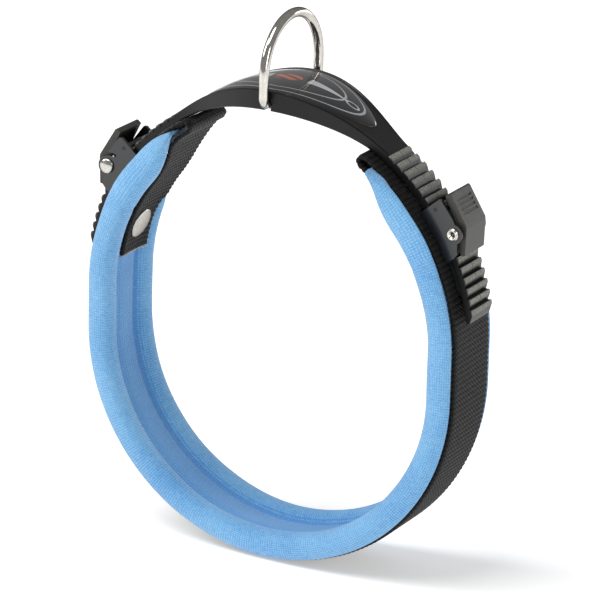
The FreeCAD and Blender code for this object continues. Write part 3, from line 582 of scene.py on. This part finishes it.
def make_materials():
    """Every finish, by the record's material slot."""
    return {
        "webbing": nylon_webbing(),
        "knit": knitted_polyester(),
        "foam": open_foam(),
        "strap_plastic": ladder_plastic(),
        "label_resin": printed_resin(),
        "nickel_wire": metal("polished_nickel", "#BDB9B1", "#D6D3CC", 0.09),
        "lacquered_steel": stoved_lacquer(),
        "nickel_rivet": metal("bright_nickel_rivet", "#B9B6B0", "#D2CFC9", 0.22, 0.8, 0.01),
        "lever_plastic": moulded_plastic("grained_polyamide", "#2B2A27", "#383733", 0.42, 0.6, 0.08),
        "hard_steel": metal("oiled_tool_steel", "#5A5B5D", "#77787A", 0.3, 1.0, 0.04),
        "spring_steel": metal("drawn_spring_wire", "#9A9B9C", "#BCBDBE", 0.25, 0.8),
        "guide_plastic": moulded_plastic("smooth_acetal", "#0E0E0F", "#161617", 0.33, 0.7, 0.05),
    }


# --- Webbing -------------------------------------------------------------------------------

def roll_radius(angle, tip):
    """A roll swells from a point to its full radius between two angles from the top."""
    start, full = tip
    grow = np.sin(math.pi / 2 * np.clip((angle - start) / (full - start), 0, 1))
    return TIP_RADIUS + (ROLL_RADIUS - TIP_RADIUS) * grow


def flap_seated(angle):
    """How far the flap has climbed from the ring, 0, onto the valley, 1."""
    return ease((angle - FLAP_CLIMB_ANGLE) / (FLAP_SEATED_ANGLE - FLAP_CLIMB_ANGLE))


def flap_radius(angle):
    """Middle of the flap's thickness: against the ring first, then up on the valley."""
    low = FOLD_CENTRE - FOLD_BEND
    return low + flap_seated(angle) * (FLAP_NECK_SIDE + WEB_THICKNESS / 2 - low)


def flap_edge(angle, tip):
    """How far across the flap reaches on one side, where the roll beside it lets it."""
    radius = roll_radius(angle, tip)
    reach = radius + WEB_THICKNESS / 2 + FLAP_SIDE_GAP
    depth = flap_radius(angle) - (WEB_INNER - radius)
    beside = np.sqrt(np.clip(reach ** 2 - depth ** 2, 0, None))
    return np.minimum(PAD_EDGE - radius - beside, WEB_HALF_WIDTH)


def flap_line(angle, share):
    """The flap's middle line at an angle from the top: y and radius at a share of its width."""
    front = -flap_edge(angle, FRONT_TIP)
    rear = flap_edge(angle, REAR_TIP)
    y = front + (rear - front) * share
    # It is slightly hollow between the rolls, and its edges ride up on them.
    seated = flap_seated(angle)
    curl = FLAP_CURL * seated * (np.abs(2 * share - 1) ** 3)
    wave = FLAP_WAVE * np.sin(angle * 23.0 + share * 2.5) * (1 - seated)
    return y, flap_radius(angle) - curl + wave


def strap_points(distance, across, offset):
    """Points of the strap, from the distance along it, across it (-1 to 1) and off its middle."""
    run = np.abs(distance)
    side = np.where(distance < 0, -1.0, 1.0)
    ring_end = half_length(WEB_MIDDLE, FOLD_ANGLE)
    fold_end = ring_end + math.pi * FOLD_BEND
    centre_z, out_x, out_z, from_top = oval(np.minimum(run, ring_end) * side, WEB_MIDDLE)
    lift = end_lift(from_top)
    x = out_x * (WEB_MIDDLE + lift)
    z = centre_z + out_z * (WEB_MIDDLE + lift)
    y = across * WEB_HALF_WIDTH
    normal = np.stack([out_x, np.zeros_like(x), out_z], 1)
    # The fold: a half turn about a line just inside the ring.
    turn = np.clip((run - ring_end) / FOLD_BEND, 0, math.pi)
    sin_fold, cos_fold = math.sin(FOLD_ANGLE), math.cos(FOLD_ANGLE)
    fold_x = side * (np.cos(turn) * sin_fold - np.sin(turn) * cos_fold)
    fold_z = np.cos(turn) * cos_fold + np.sin(turn) * sin_fold
    in_fold = run > ring_end
    bend_centre = FOLD_CENTRE + END_LIFT
    x = np.where(in_fold, side * bend_centre * sin_fold + FOLD_BEND * fold_x, x)
    z = np.where(in_fold, HALF_STRAIGHT + bend_centre * cos_fold + FOLD_BEND * fold_z, z)
    normal[in_fold, 0] = fold_x[in_fold]
    normal[in_fold, 2] = fold_z[in_fold]
    # The flap: its section drapes and tucks as the angle grows.
    in_flap = run > fold_end
    angle = FOLD_ANGLE + np.maximum(run - fold_end, 0) / (FOLD_CENTRE - FOLD_BEND)
    share = (across + 1) / 2
    flap_y, flap_middle = flap_line(angle, share)
    flap_middle = flap_middle + end_lift(angle)
    # The flap's slope across, from points a little to each side.
    step = 0.01
    y_before, radius_before = flap_line(angle, np.clip(share - step, 0, 1))
    y_after, radius_after = flap_line(angle, np.clip(share + step, 0, 1))
    slope_y, slope_radius = y_after - y_before, radius_after - radius_before
    size = np.hypot(slope_y, slope_radius) + 1e-12
    x = np.where(in_flap, side * flap_middle * np.sin(angle), x)
    z = np.where(in_flap, HALF_STRAIGHT + flap_middle * np.cos(angle), z)
    y = np.where(in_flap, flap_y, y)
    inward = -slope_y / size
    normal[in_flap, 0] = (inward * side * np.sin(angle))[in_flap]
    normal[in_flap, 2] = (inward * np.cos(angle))[in_flap]
    normal[in_flap, 1] = (slope_radius / size)[in_flap]
    return np.stack([x, y, z], 1) + normal * offset[:, None]


def strap_length():
    """The webbing's whole length along its middle, from one cut end to the other."""
    flap = (FLAP_END_ANGLE - FOLD_ANGLE) * (FOLD_CENTRE - FOLD_BEND)
    return 2 * (half_length(WEB_MIDDLE, FOLD_ANGLE) + math.pi * FOLD_BEND + flap)


def strap_section(v):
    """Round the strap's section: which face, how far across, and how far off the middle (-1 to 1)."""
    face, edge = FACE_SHARE, EDGE_SHARE
    across = np.zeros_like(v)
    off = np.zeros_like(v)
    outer = v <= face
    across[outer] = -1 + 2 * v[outer] / face
    off[outer] = 1
    right = (v > face) & (v <= face + edge)
    turn = math.pi * (v[right] - face) / edge
    across[right] = 1
    off[right] = np.cos(turn)
    inner = (v > face + edge) & (v <= 2 * face + edge)
    across[inner] = 1 - 2 * (v[inner] - face - edge) / face
    off[inner] = -1
    left = v > 2 * face + edge
    turn = math.pi * (v[left] - 2 * face - edge) / edge
    across[left] = -1
    off[left] = -np.cos(turn)
    return across, off


def webbing_strap(materials):
    """One length of ribbed webbing: ring, folds and flaps, with every rib and selvedge loop real."""
    length = strap_length()
    ribs = round(length / RIB_PITCH)
    edge_round = 0.5 * WEB_THICKNESS / WEB_HALF_WIDTH

    def place(u, v):
        distance = (u - 0.5) * length
        across, off = strap_section(v)
        crest = np.abs(np.sin(math.pi * u * ribs)) ** 0.7
        bulge = np.sqrt(np.clip(1 - off ** 2, 0, 1)) * (np.abs(across) >= 1)
        width = (1 - edge_round) * across
        width = width + np.sign(across) * bulge * (edge_round + crest * SELVEDGE_BUMP / WEB_HALF_WIDTH)
        depth = off * (WEB_THICKNESS / 2 - RIB_DEPTH * (1 - crest))
        return strap_points(distance, width, depth)

    def pattern(u, v):
        return np.stack([u * ribs * RIB_PITCH / MM, v * 54.0], 1)

    piece = rolled_grid("woven_strap", ribs * 5, 36, place, pattern)
    smooth(piece, 60)
    return hand_over(piece, materials["webbing"], "webbing_strap")


def cut_beads(material):
    """The melted bead along each cut end of the strap."""
    end = strap_length() / 2
    for side, name in ((-1, "left"), (1, "right")):
        def place(u, v, side=side):
            turn = 2 * math.pi * v
            across = 0.985 * (2 * u - 1)
            wobble = 1 + 0.18 * np.sin(u * 41.0) + 0.12 * np.sin(u * 97.0 + 1)
            off = 0.6 * WEB_THICKNESS * np.cos(turn)
            reach = (end + 0.5 * MM * wobble * np.sin(turn)) * side
            return strap_points(reach, across, off)

        def pattern(u, v):
            return np.stack([u * 14.0, v * 3.0], 1)

        piece = rolled_grid(name + "_sealed_end", 40, 10, place, pattern)
        smooth(piece, 60)
        extra(piece, material, "root")


# --- Padding -------------------------------------------------------------------------------

def sleeve_section(v, angle):
    """Round the sleeve's section at an angle from the top: y, and height off the webbing."""
    floor = SLEEVE_THICKNESS
    valley = floor + (VALLEY_DEPTH - floor) * ease((angle - VALLEY_ANGLE) / math.radians(2.5))
    roll, flat = ROLL_SHARE, VALLEY_SHARE
    y = np.zeros_like(v)
    height = np.zeros_like(v)
    centres = {}
    reaches = {}
    for face, start, tip in ((-1, 0.0, FRONT_TIP), (1, roll + flat, REAR_TIP)):
        radius = roll_radius(angle, tip)
        centre = PAD_EDGE - radius
        if face == 1:
            # Before its tip starts, the rear side hides between the ring and the flap.
            hidden = ease((tip[0] - angle) / math.radians(1.5))
            centre = centre + hidden * (0.45 * PAD_EDGE - centre)
            radius = radius + hidden * (floor - radius)
        meet = np.arcsin(np.clip((valley - radius) / radius, -0.98, 0.9))
        sweep = 1.5 * math.pi - meet
        part = (v >= start) & (v <= start + roll)
        share = (v - start) / roll
        share = share if face == -1 else 1 - share
        turn = -math.pi / 2 - sweep * share
        reach = centre - radius * np.cos(turn)
        rise = radius + radius * np.sin(turn)
        # Where the roll stands out past the strap's edge it also drops beside it.
        past = ease((reach - WEB_HALF_WIDTH - HUG_START) / HUG_RUN) * ease(radius / ROLL_RADIUS)
        low = ease(1 - rise / (1.5 * ROLL_RADIUS))
        near_tip = ease((TIP_HUG_ANGLE - angle) / 0.3) if face == -1 else 0
        rise = rise - past * low * (HUG_DEPTH + TIP_HUG * near_tip)
        y = np.where(part, face * reach, y)
        height = np.where(part, rise, height)
        centres[face] = centre
        reaches[face] = centre - radius * np.cos(meet)
    share = (v - roll) / flat
    part = (share > 0) & (share < 1)
    valley_y = -reaches[-1] + (reaches[-1] + reaches[1]) * share
    # The front roll meets the valley in a shallow crease, and the rear one in a deep, stitched crease.
    dip = VALLEY_DIP * np.clip(share, 0, 1) ** 1.5
    crease = REAR_CREASE * np.exp(-(((share - 0.93) / 0.09) ** 2))
    crease = crease + FRONT_CREASE * np.exp(-(((share - 0.08) / 0.1) ** 2))
    y = np.where(part, valley_y, y)
    height = np.where(part, valley - (dip + crease) * ease((angle - VALLEY_ANGLE) / 0.08), height)
    share = (v - 2 * roll - flat) / (1 - 2 * roll - flat)
    part = share > 0
    y = np.where(part, centres[1] - (centres[1] + centres[-1]) * share, y)
    height = np.where(part, 0.0, height)
    return y, height - end_lift(angle) + 0.05 * MM


def settled_foam(node, materials):
    """Foam drawn down by its sleeve, and lifted with the ring's free end."""
    piece = bpy.data.objects.new(node + "_settled", frame["nodes"][node].data.copy())
    bpy.context.scene.collection.objects.link(piece)
    points = get_points(piece.data)
    centre_z, direction, radius = ring_place(points)
    from_top = np.arctan2(np.abs(points[:, 0]), points[:, 2] - HALF_STRAIGHT)
    middle = 0.0
    share = STRIP_SETTLE
    if "core" in node:
        tip = FRONT_TIP if "front" in node else REAR_TIP
        middle = np.sign(points[:, 1].mean()) * (PAD_EDGE - roll_radius(from_top, tip))
        share = FOAM_SETTLE - FOAM_TIP_SETTLE * (1 - ease((from_top - tip[0]) / (tip[1] - tip[0])))
    height = (WEB_INNER - radius) * share - end_lift(from_top)
    settled = direction * (WEB_INNER - height)[:, None]
    settled[:, 1] = middle + (points[:, 1] - middle) * share
    settled[:, 2] += centre_z
    set_points(piece.data, settled)
    smooth(piece, 50)
    hand_over(piece, materials["foam"], node)


def swell(piece):
    """Inflates the sleeve as cloth over its foam, sewn down along its back, and caps each move."""
    rest = get_points(piece.data)
    activate(piece)
    group = piece.vertex_groups.new(name="sewn")
    sewn = [i for i in range(len(rest)) if piece.data.attributes["back"].data[i].value > 0.5]
    group.add(sewn, 1.0, "REPLACE")
    cloth = piece.modifiers.new("Cloth", "CLOTH")
    settings = cloth.settings
    settings.quality = 4
    settings.mass = 0.15
    settings.tension_stiffness = 18
    settings.compression_stiffness = 6
    settings.shear_stiffness = 6
    settings.bending_stiffness = 0.6
    settings.use_pressure = True
    settings.uniform_pressure_force = 3.0
    settings.effector_weights.gravity = 0
    settings.vertex_group_mass = "sewn"
    cloth.collision_settings.use_self_collision = False
    scene = bpy.context.scene
    scene.frame_start, scene.frame_end = 1, SWELL_FRAMES
    cloth.point_cache.frame_start, cloth.point_cache.frame_end = 1, SWELL_FRAMES
    for number in range(1, SWELL_FRAMES + 1):
        scene.frame_set(number)
    bpy.ops.object.modifier_apply(modifier=cloth.name)
    scene.frame_set(1)
    moved = get_points(piece.data) - rest
    size = np.linalg.norm(moved, axis=1, keepdims=True) + 1e-12
    set_points(piece.data, rest + moved * np.minimum(1, SWELL_CAP / size))
    piece.vertex_groups.clear()


def pad_sleeve(materials):
    """The knitted sleeve: two foam rolls with tapered tips and the sewn valley between them."""
    length = 2 * half_length(WEB_INNER, FRONT_TIP[0])

    def place(u, v):
        centre_z, out_x, out_z, angle = oval((u - 0.5) * length, WEB_INNER)
        y, height = sleeve_section(v, angle)
        radius = WEB_INNER - height
        return np.stack([out_x * radius, y, centre_z + out_z * radius], 1)

    def pattern(u, v):
        return np.stack([u * length / MM, v * SLEEVE_AROUND], 1)

    piece = rolled_grid("knit_sleeve", 300, 78, place, pattern)
    points = get_points(piece.data)
    centre_z, direction, radius = ring_place(points)
    back = piece.data.attributes.new("back", "FLOAT", "POINT")
    back.data.foreach_set("value", (radius > WEB_INNER - 0.4 * MM).astype(np.float32))
    # Hand-made foam is never quite even: slow, shallow swells along both rolls.
    inward = 1 - np.clip((radius - (WEB_INNER - 2 * ROLL_RADIUS)) / (1.6 * ROLL_RADIUS), 0, 1)
    uneven = np.array([noise.noise(Vector(p) * UNEVEN_SCALE) for p in points]) * UNEVEN_DEPTH * inward
    set_points(piece.data, points - direction * uneven[:, None])
    swell(piece)
    piece.data.attributes.remove(piece.data.attributes["back"])
    apply_modifier(piece, "SUBSURF", levels=1, render_levels=1)
    smooth(piece, 180)
    hand_over(piece, materials["knit"], "pad_cover")


# --- Bridge --------------------------------------------------------------------------------

def eased_copy(node, width, materials, angle=32, segments=2):
    """A CAD shape with its sharp edges eased, as a moulding or a pressing leaves them."""
    piece = bpy.data.objects.new(node + "_eased", frame["nodes"][node].data.copy())
    bpy.context.scene.collection.objects.link(piece)
    activate(piece)
    bpy.ops.mesh.customdata_custom_splitnormals_clear()
    edit(piece,
         (bpy.ops.mesh.remove_doubles, {"threshold": 2e-6}),
         (bpy.ops.mesh.dissolve_limited, {"angle_limit": math.radians(0.6)}))
    apply_modifier(piece, "BEVEL", width=width, segments=segments, limit_method="ANGLE",
                   angle_limit=math.radians(angle), use_clamp_overlap=True, miter_outer="MITER_ARC")
    smooth(piece, 35)
    apply_modifier(piece, "WEIGHTED_NORMAL", weight=100, keep_sharp=True)
    return hand_over(piece, materials[SLOT_OF[node]], node)


def bridge_taper(angle):
    """The bridge's swell over its arms: 1 at the top, 0 where the teeth start."""
    return np.cos(math.pi / 2 * np.clip(np.abs(angle) / BRIDGE_TAPER_ANGLE, 0, 1)) ** 1.35


def domed_label(materials):
    """The resin lens between the bridge's rims, thickest along its middle."""
    half_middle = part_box("bridge_label")[1].y
    bridge_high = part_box("ladder_bridge")[1]
    rim_middle = bridge_high.z - HALF_STRAIGHT

    def half_width(angle):
        share = np.clip(np.abs(angle) / LABEL_END, 0, 1)
        flare = (bridge_high.y - LADDER_HALF_WIDTH) * bridge_taper(angle) ** 1.3
        inside = LADDER_HALF_WIDTH + flare - LABEL_INSET
        return np.maximum(inside * np.sqrt(np.clip(1 - share ** 3.2, 0, 1)), LABEL_TIP)

    def share_across(v):
        """Over the top from one edge to the other, 1 to -1, then back along the flat foot."""
        top = LABEL_TOP_SHARE
        return np.where(v < top, 1 - 2 * v / top, -1 + 2 * (v - top) / (1 - top))

    def place(u, v):
        angle = (2 * u - 1) * LABEL_END
        half = half_width(angle)
        rim = TOOTH_CREST + (rim_middle - TOOTH_CREST) * bridge_taper(angle)
        seat = rim - LABEL_SEAT * bridge_taper(angle) - 0.05 * MM
        across = share_across(v)
        dome = 2 * LABEL_EDGE + LABEL_CROWN * half / half_middle
        rise = LABEL_EDGE + (dome - LABEL_EDGE) * (1 - across ** 2) ** 0.8
        radius = seat + np.where(v < LABEL_TOP_SHARE, rise, 0.0)
        return np.stack([radius * np.sin(angle), across * half, HALF_STRAIGHT + radius * np.cos(angle)], 1)

    def pattern(u, v):
        half = half_width((2 * u - 1) * LABEL_END)
        return np.stack([2 * u - 1, share_across(v) * half / half_middle], 1)

    piece = rolled_grid("domed_label", 96, 40, place, pattern)
    smooth(piece, 50)
    return hand_over(piece, materials["label_resin"], "bridge_label")


# --- Leash ring ----------------------------------------------------------------------------

def leash_ring(materials):
    """Bar, two legs and a half circle in one bent and welded wire."""
    low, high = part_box("d_ring")
    half = (high.y - low.y - RING_WIRE) / 2
    bar_z = JOINT_AT["leash_ring_swing"].z
    top_z = high.z - RING_WIRE / 2 - half
    path = []
    corner_steps, bow_steps = 8, 64
    for i in range(corner_steps + 1):
        turn = math.pi / 2 * i / corner_steps
        path.append((half - RING_CORNER + RING_CORNER * math.sin(turn),
                     bar_z + RING_CORNER - RING_CORNER * math.cos(turn)))
    for i in range(bow_steps + 1):
        turn = math.pi * i / bow_steps
        path.append((half * math.cos(turn), top_z + half * math.sin(turn)))
    path += [(-y, z) for y, z in reversed(path[:corner_steps + 1])]
    curve = bpy.data.curves.new("leash_ring_wire", "CURVE")
    curve.dimensions = "3D"
    curve.bevel_depth = RING_WIRE / 2
    curve.bevel_resolution = 7
    spline = curve.splines.new("POLY")
    spline.points.add(len(path) - 1)
    for number, (y, z) in enumerate(path):
        spline.points[number].co = (0, y, z, 1)
    spline.use_cyclic_u = True
    piece = bpy.data.objects.new("leash_ring_wire", curve)
    bpy.context.scene.collection.objects.link(piece)
    activate(piece)
    bpy.ops.object.convert(target="MESH")
    piece = bpy.context.object
    edit(piece,
         (bpy.ops.mesh.remove_doubles, {"threshold": 1e-6}),
         (bpy.ops.mesh.normals_make_consistent, {"inside": False}))
    smooth(piece, 180)
    return hand_over(piece, materials["nickel_wire"], "d_ring")


# --- Turned hardware -----------------------------------------------------------------------

def turned(name, outline, foot, axis, steps=48):
    """A round piece on an axis, extruded ring by ring through (radius, height) points."""
    deselect()
    bpy.ops.mesh.primitive_circle_add(vertices=steps, radius=outline[0][0], fill_type="NGON",
                                      location=(0, 0, 0))
    piece = bpy.context.object
    piece.name = name
    bpy.ops.object.mode_set(mode="EDIT")
    bpy.ops.mesh.select_all(action="SELECT")
    radius, height = outline[0]
    bpy.ops.transform.translate(value=(0, 0, height))
    for next_radius, next_height in outline[1:]:
        bpy.ops.mesh.extrude_region_move(TRANSFORM_OT_translate={"value": (0, 0, next_height - height)})
        size = next_radius / radius
        bpy.ops.transform.resize(value=(size, size, 1), center_override=(0, 0, next_height))
        radius, height = next_radius, next_height
    bpy.ops.mesh.select_all(action="SELECT")
    bpy.ops.mesh.normals_make_consistent(inside=False)
    bpy.ops.object.mode_set(mode="OBJECT")
    turn = Vector((0, 0, 1)).rotation_difference(axis).to_matrix().to_4x4()
    piece.data.transform(Matrix.Translation(foot) @ turn)
    smooth(piece, 35)
    return piece


def dome(radius, rise, base, steps=8):
    """Outline points of a rounded head, from its rim to its crown."""
    points = []
    for i in range(steps + 1):
        turn = math.pi / 2 * i / steps
        points.append((max(radius * math.cos(turn), 0.02 * MM), base + rise * math.sin(turn)))
    return points


def buckle_hardware(side, prefix, materials):
    """Rivet cap on the neck side, and the axle with its round head and flared end."""
    angle = side * RIVET_ANGLE
    rim = RIVET_CAP_RADIUS
    outline = [(1.7 * MM, 0.0), (rim - 0.3 * MM, 0.0), (rim, 0.15 * MM), (rim, 0.3 * MM)]
    outline += dome(rim - 0.05 * MM, 0.62 * MM, 0.3 * MM)
    seat = at(angle, FLAP_NECK_SIDE - 0.02 * MM)
    cap = turned(prefix + "_cap_disc", outline, seat, -outward(angle), 64)
    hand_over(cap, materials["nickel_rivet"], prefix + "_rivet_cap")
    wall = AXLE_HALF_LENGTH
    # From the bottom of the tube's bore, over its flared end, along the shank and over the head.
    outline = [(0.1 * MM, -wall + 1.6 * MM),
               (AXLE_BORE, -wall + 1.5 * MM),
               (AXLE_BORE + 0.05 * MM, -wall - 0.3 * MM),
               (1.35 * MM, -wall - 0.95 * MM),
               (1.75 * MM, -wall - 0.9 * MM),
               (AXLE_FLARE, -wall - 0.35 * MM),
               (AXLE_FLARE, -wall - 0.02 * MM),
               (AXLE_RADIUS, -wall - 0.01 * MM),
               (AXLE_RADIUS, wall),
               (AXLE_HEAD - 0.1 * MM, wall + 0.02 * MM),
               (AXLE_HEAD, wall + 0.15 * MM)]
    outline += dome(AXLE_HEAD, 1.15 * MM, wall + 0.25 * MM)
    pin = turned(prefix + "_axle_rivet", outline, JOINT_AT[prefix + "_lever_press"], Vector((0, side, 0)))
    hand_over(pin, materials["nickel_rivet"], prefix + "_axle_pin")


# --- Stage, light and camera ---------------------------------------------------------------

VIEW_TURN = math.radians(29.4)
VIEW_TILT = math.radians(19.5)
VIEW_ROLL = math.radians(1.3)
VIEW_DISTANCE = 1.5
VIEW_LENS = 256.3
VIEW_AIM = 4.7 * MM, 10.6 * MM


def camera():
    right = Vector((math.cos(VIEW_TURN), math.sin(VIEW_TURN), 0))
    look = Vector((-math.sin(VIEW_TURN) * math.cos(VIEW_TILT),
                   math.cos(VIEW_TURN) * math.cos(VIEW_TILT), -math.sin(VIEW_TILT)))
    up = right.cross(look)
    aim = right * VIEW_AIM[0] + up * VIEW_AIM[1]
    data = bpy.data.cameras.new("camera")
    data.lens = VIEW_LENS
    data.sensor_width = 36
    data.clip_end = 20
    eye = bpy.data.objects.new("camera", data)
    bpy.context.scene.collection.objects.link(eye)
    eye.location = aim - look * VIEW_DISTANCE
    level = look.to_track_quat("-Z", "Y")
    eye.rotation_euler = (level @ Quaternion((0, 0, 1), VIEW_ROLL)).to_euler()
    bpy.context.scene.camera = eye


def area_light(name, place, size, power, aim=(0, 0, 0)):
    data = bpy.data.lights.new(name, "AREA")
    data.shape = "RECTANGLE"
    data.size, data.size_y = size
    data.energy = power
    lamp = bpy.data.objects.new(name, data)
    bpy.context.scene.collection.objects.link(lamp)
    lamp.location = place
    lamp.rotation_euler = (Vector(aim) - Vector(place)).to_track_quat("-Z", "Y").to_euler()


def studio():
    world = bpy.data.worlds.new("studio")
    world.use_nodes = True
    world.node_tree.nodes["Background"].inputs["Color"].default_value = (1, 1, 1, 1)
    world.node_tree.nodes["Background"].inputs["Strength"].default_value = 0.3
    bpy.context.scene.world = world
    bpy.context.scene.view_settings.view_transform = "Standard"
    sun = bpy.data.lights.new("daylight", "SUN")
    sun.energy = 1.6
    sun.angle = math.radians(35)
    lamp = bpy.data.objects.new("daylight", sun)
    bpy.context.scene.collection.objects.link(lamp)
    lamp.rotation_euler = Vector((0.25, 0.4, -1)).to_track_quat("-Z", "Y").to_euler()
    area_light("key", (-1.15, -0.6, 0.8), (0.45, 0.6), 8.0)
    area_light("side", (0.9, -0.5, 0.35), (0.2, 0.6), 2.2)
    area_light("rear", (0.35, 1.1, 0.15), (0.7, 0.25), 2.2)
    deselect()
    bpy.ops.mesh.primitive_plane_add(size=6, location=(0, 0, cad_box[0].z - 0.4 * MM))
    floor = bpy.context.object
    floor.name = "floor"
    material, tree, shader = surface("pale_floor", Roughness=0.9, Emission_Strength=0.36,
                                     Emission_Color=(1, 1, 1, 1))
    place = add(tree, "TexCoord")["Object"]
    paper = add(tree, "TexNoise", {"Vector": place, "Scale": per_mm(60.0),
                                   "Detail": 3.0, "Roughness": 0.6})["Fac"]
    colour = add(tree, "ValToRGB", {"Fac": paper}, [(0.3, "#F6F6F6"), (0.7, "#FAFAFA")])["Color"]
    finish_surface(tree, shader, Base_Color=colour)
    floor.data.materials.append(material)


# --- Assembly ------------------------------------------------------------------------------

def main():
    camera()
    studio()
    materials = make_materials()
    webbing_strap(materials)
    cut_beads(sealed_edge())
    pad_sleeve(materials)
    for node in ("foam_core_front", "foam_core_rear", "foam_strip"):
        settled_foam(node, materials)
    eased_copy("ladder_bridge", 0.4 * MM, materials, segments=3)
    domed_label(materials)
    leash_ring(materials)
    for side, prefix in ((1, "right"), (-1, "left")):
        eased_copy(prefix + "_buckle_frame", 0.22 * MM, materials)
        eased_copy(prefix + "_lever", 0.3 * MM, materials)
        eased_copy(prefix + "_ladder_guide", 0.12 * MM, materials)
        eased_copy(prefix + "_claw", 0.06 * MM, materials)
        buckle_hardware(side, prefix, materials)
    # The CAD nodes that stay in view, such as the springs, get their finish too.
    for node, piece in frame["nodes"].items():
        piece.data.materials.clear()
        piece.data.materials.append(materials[SLOT_OF[node]])


main()
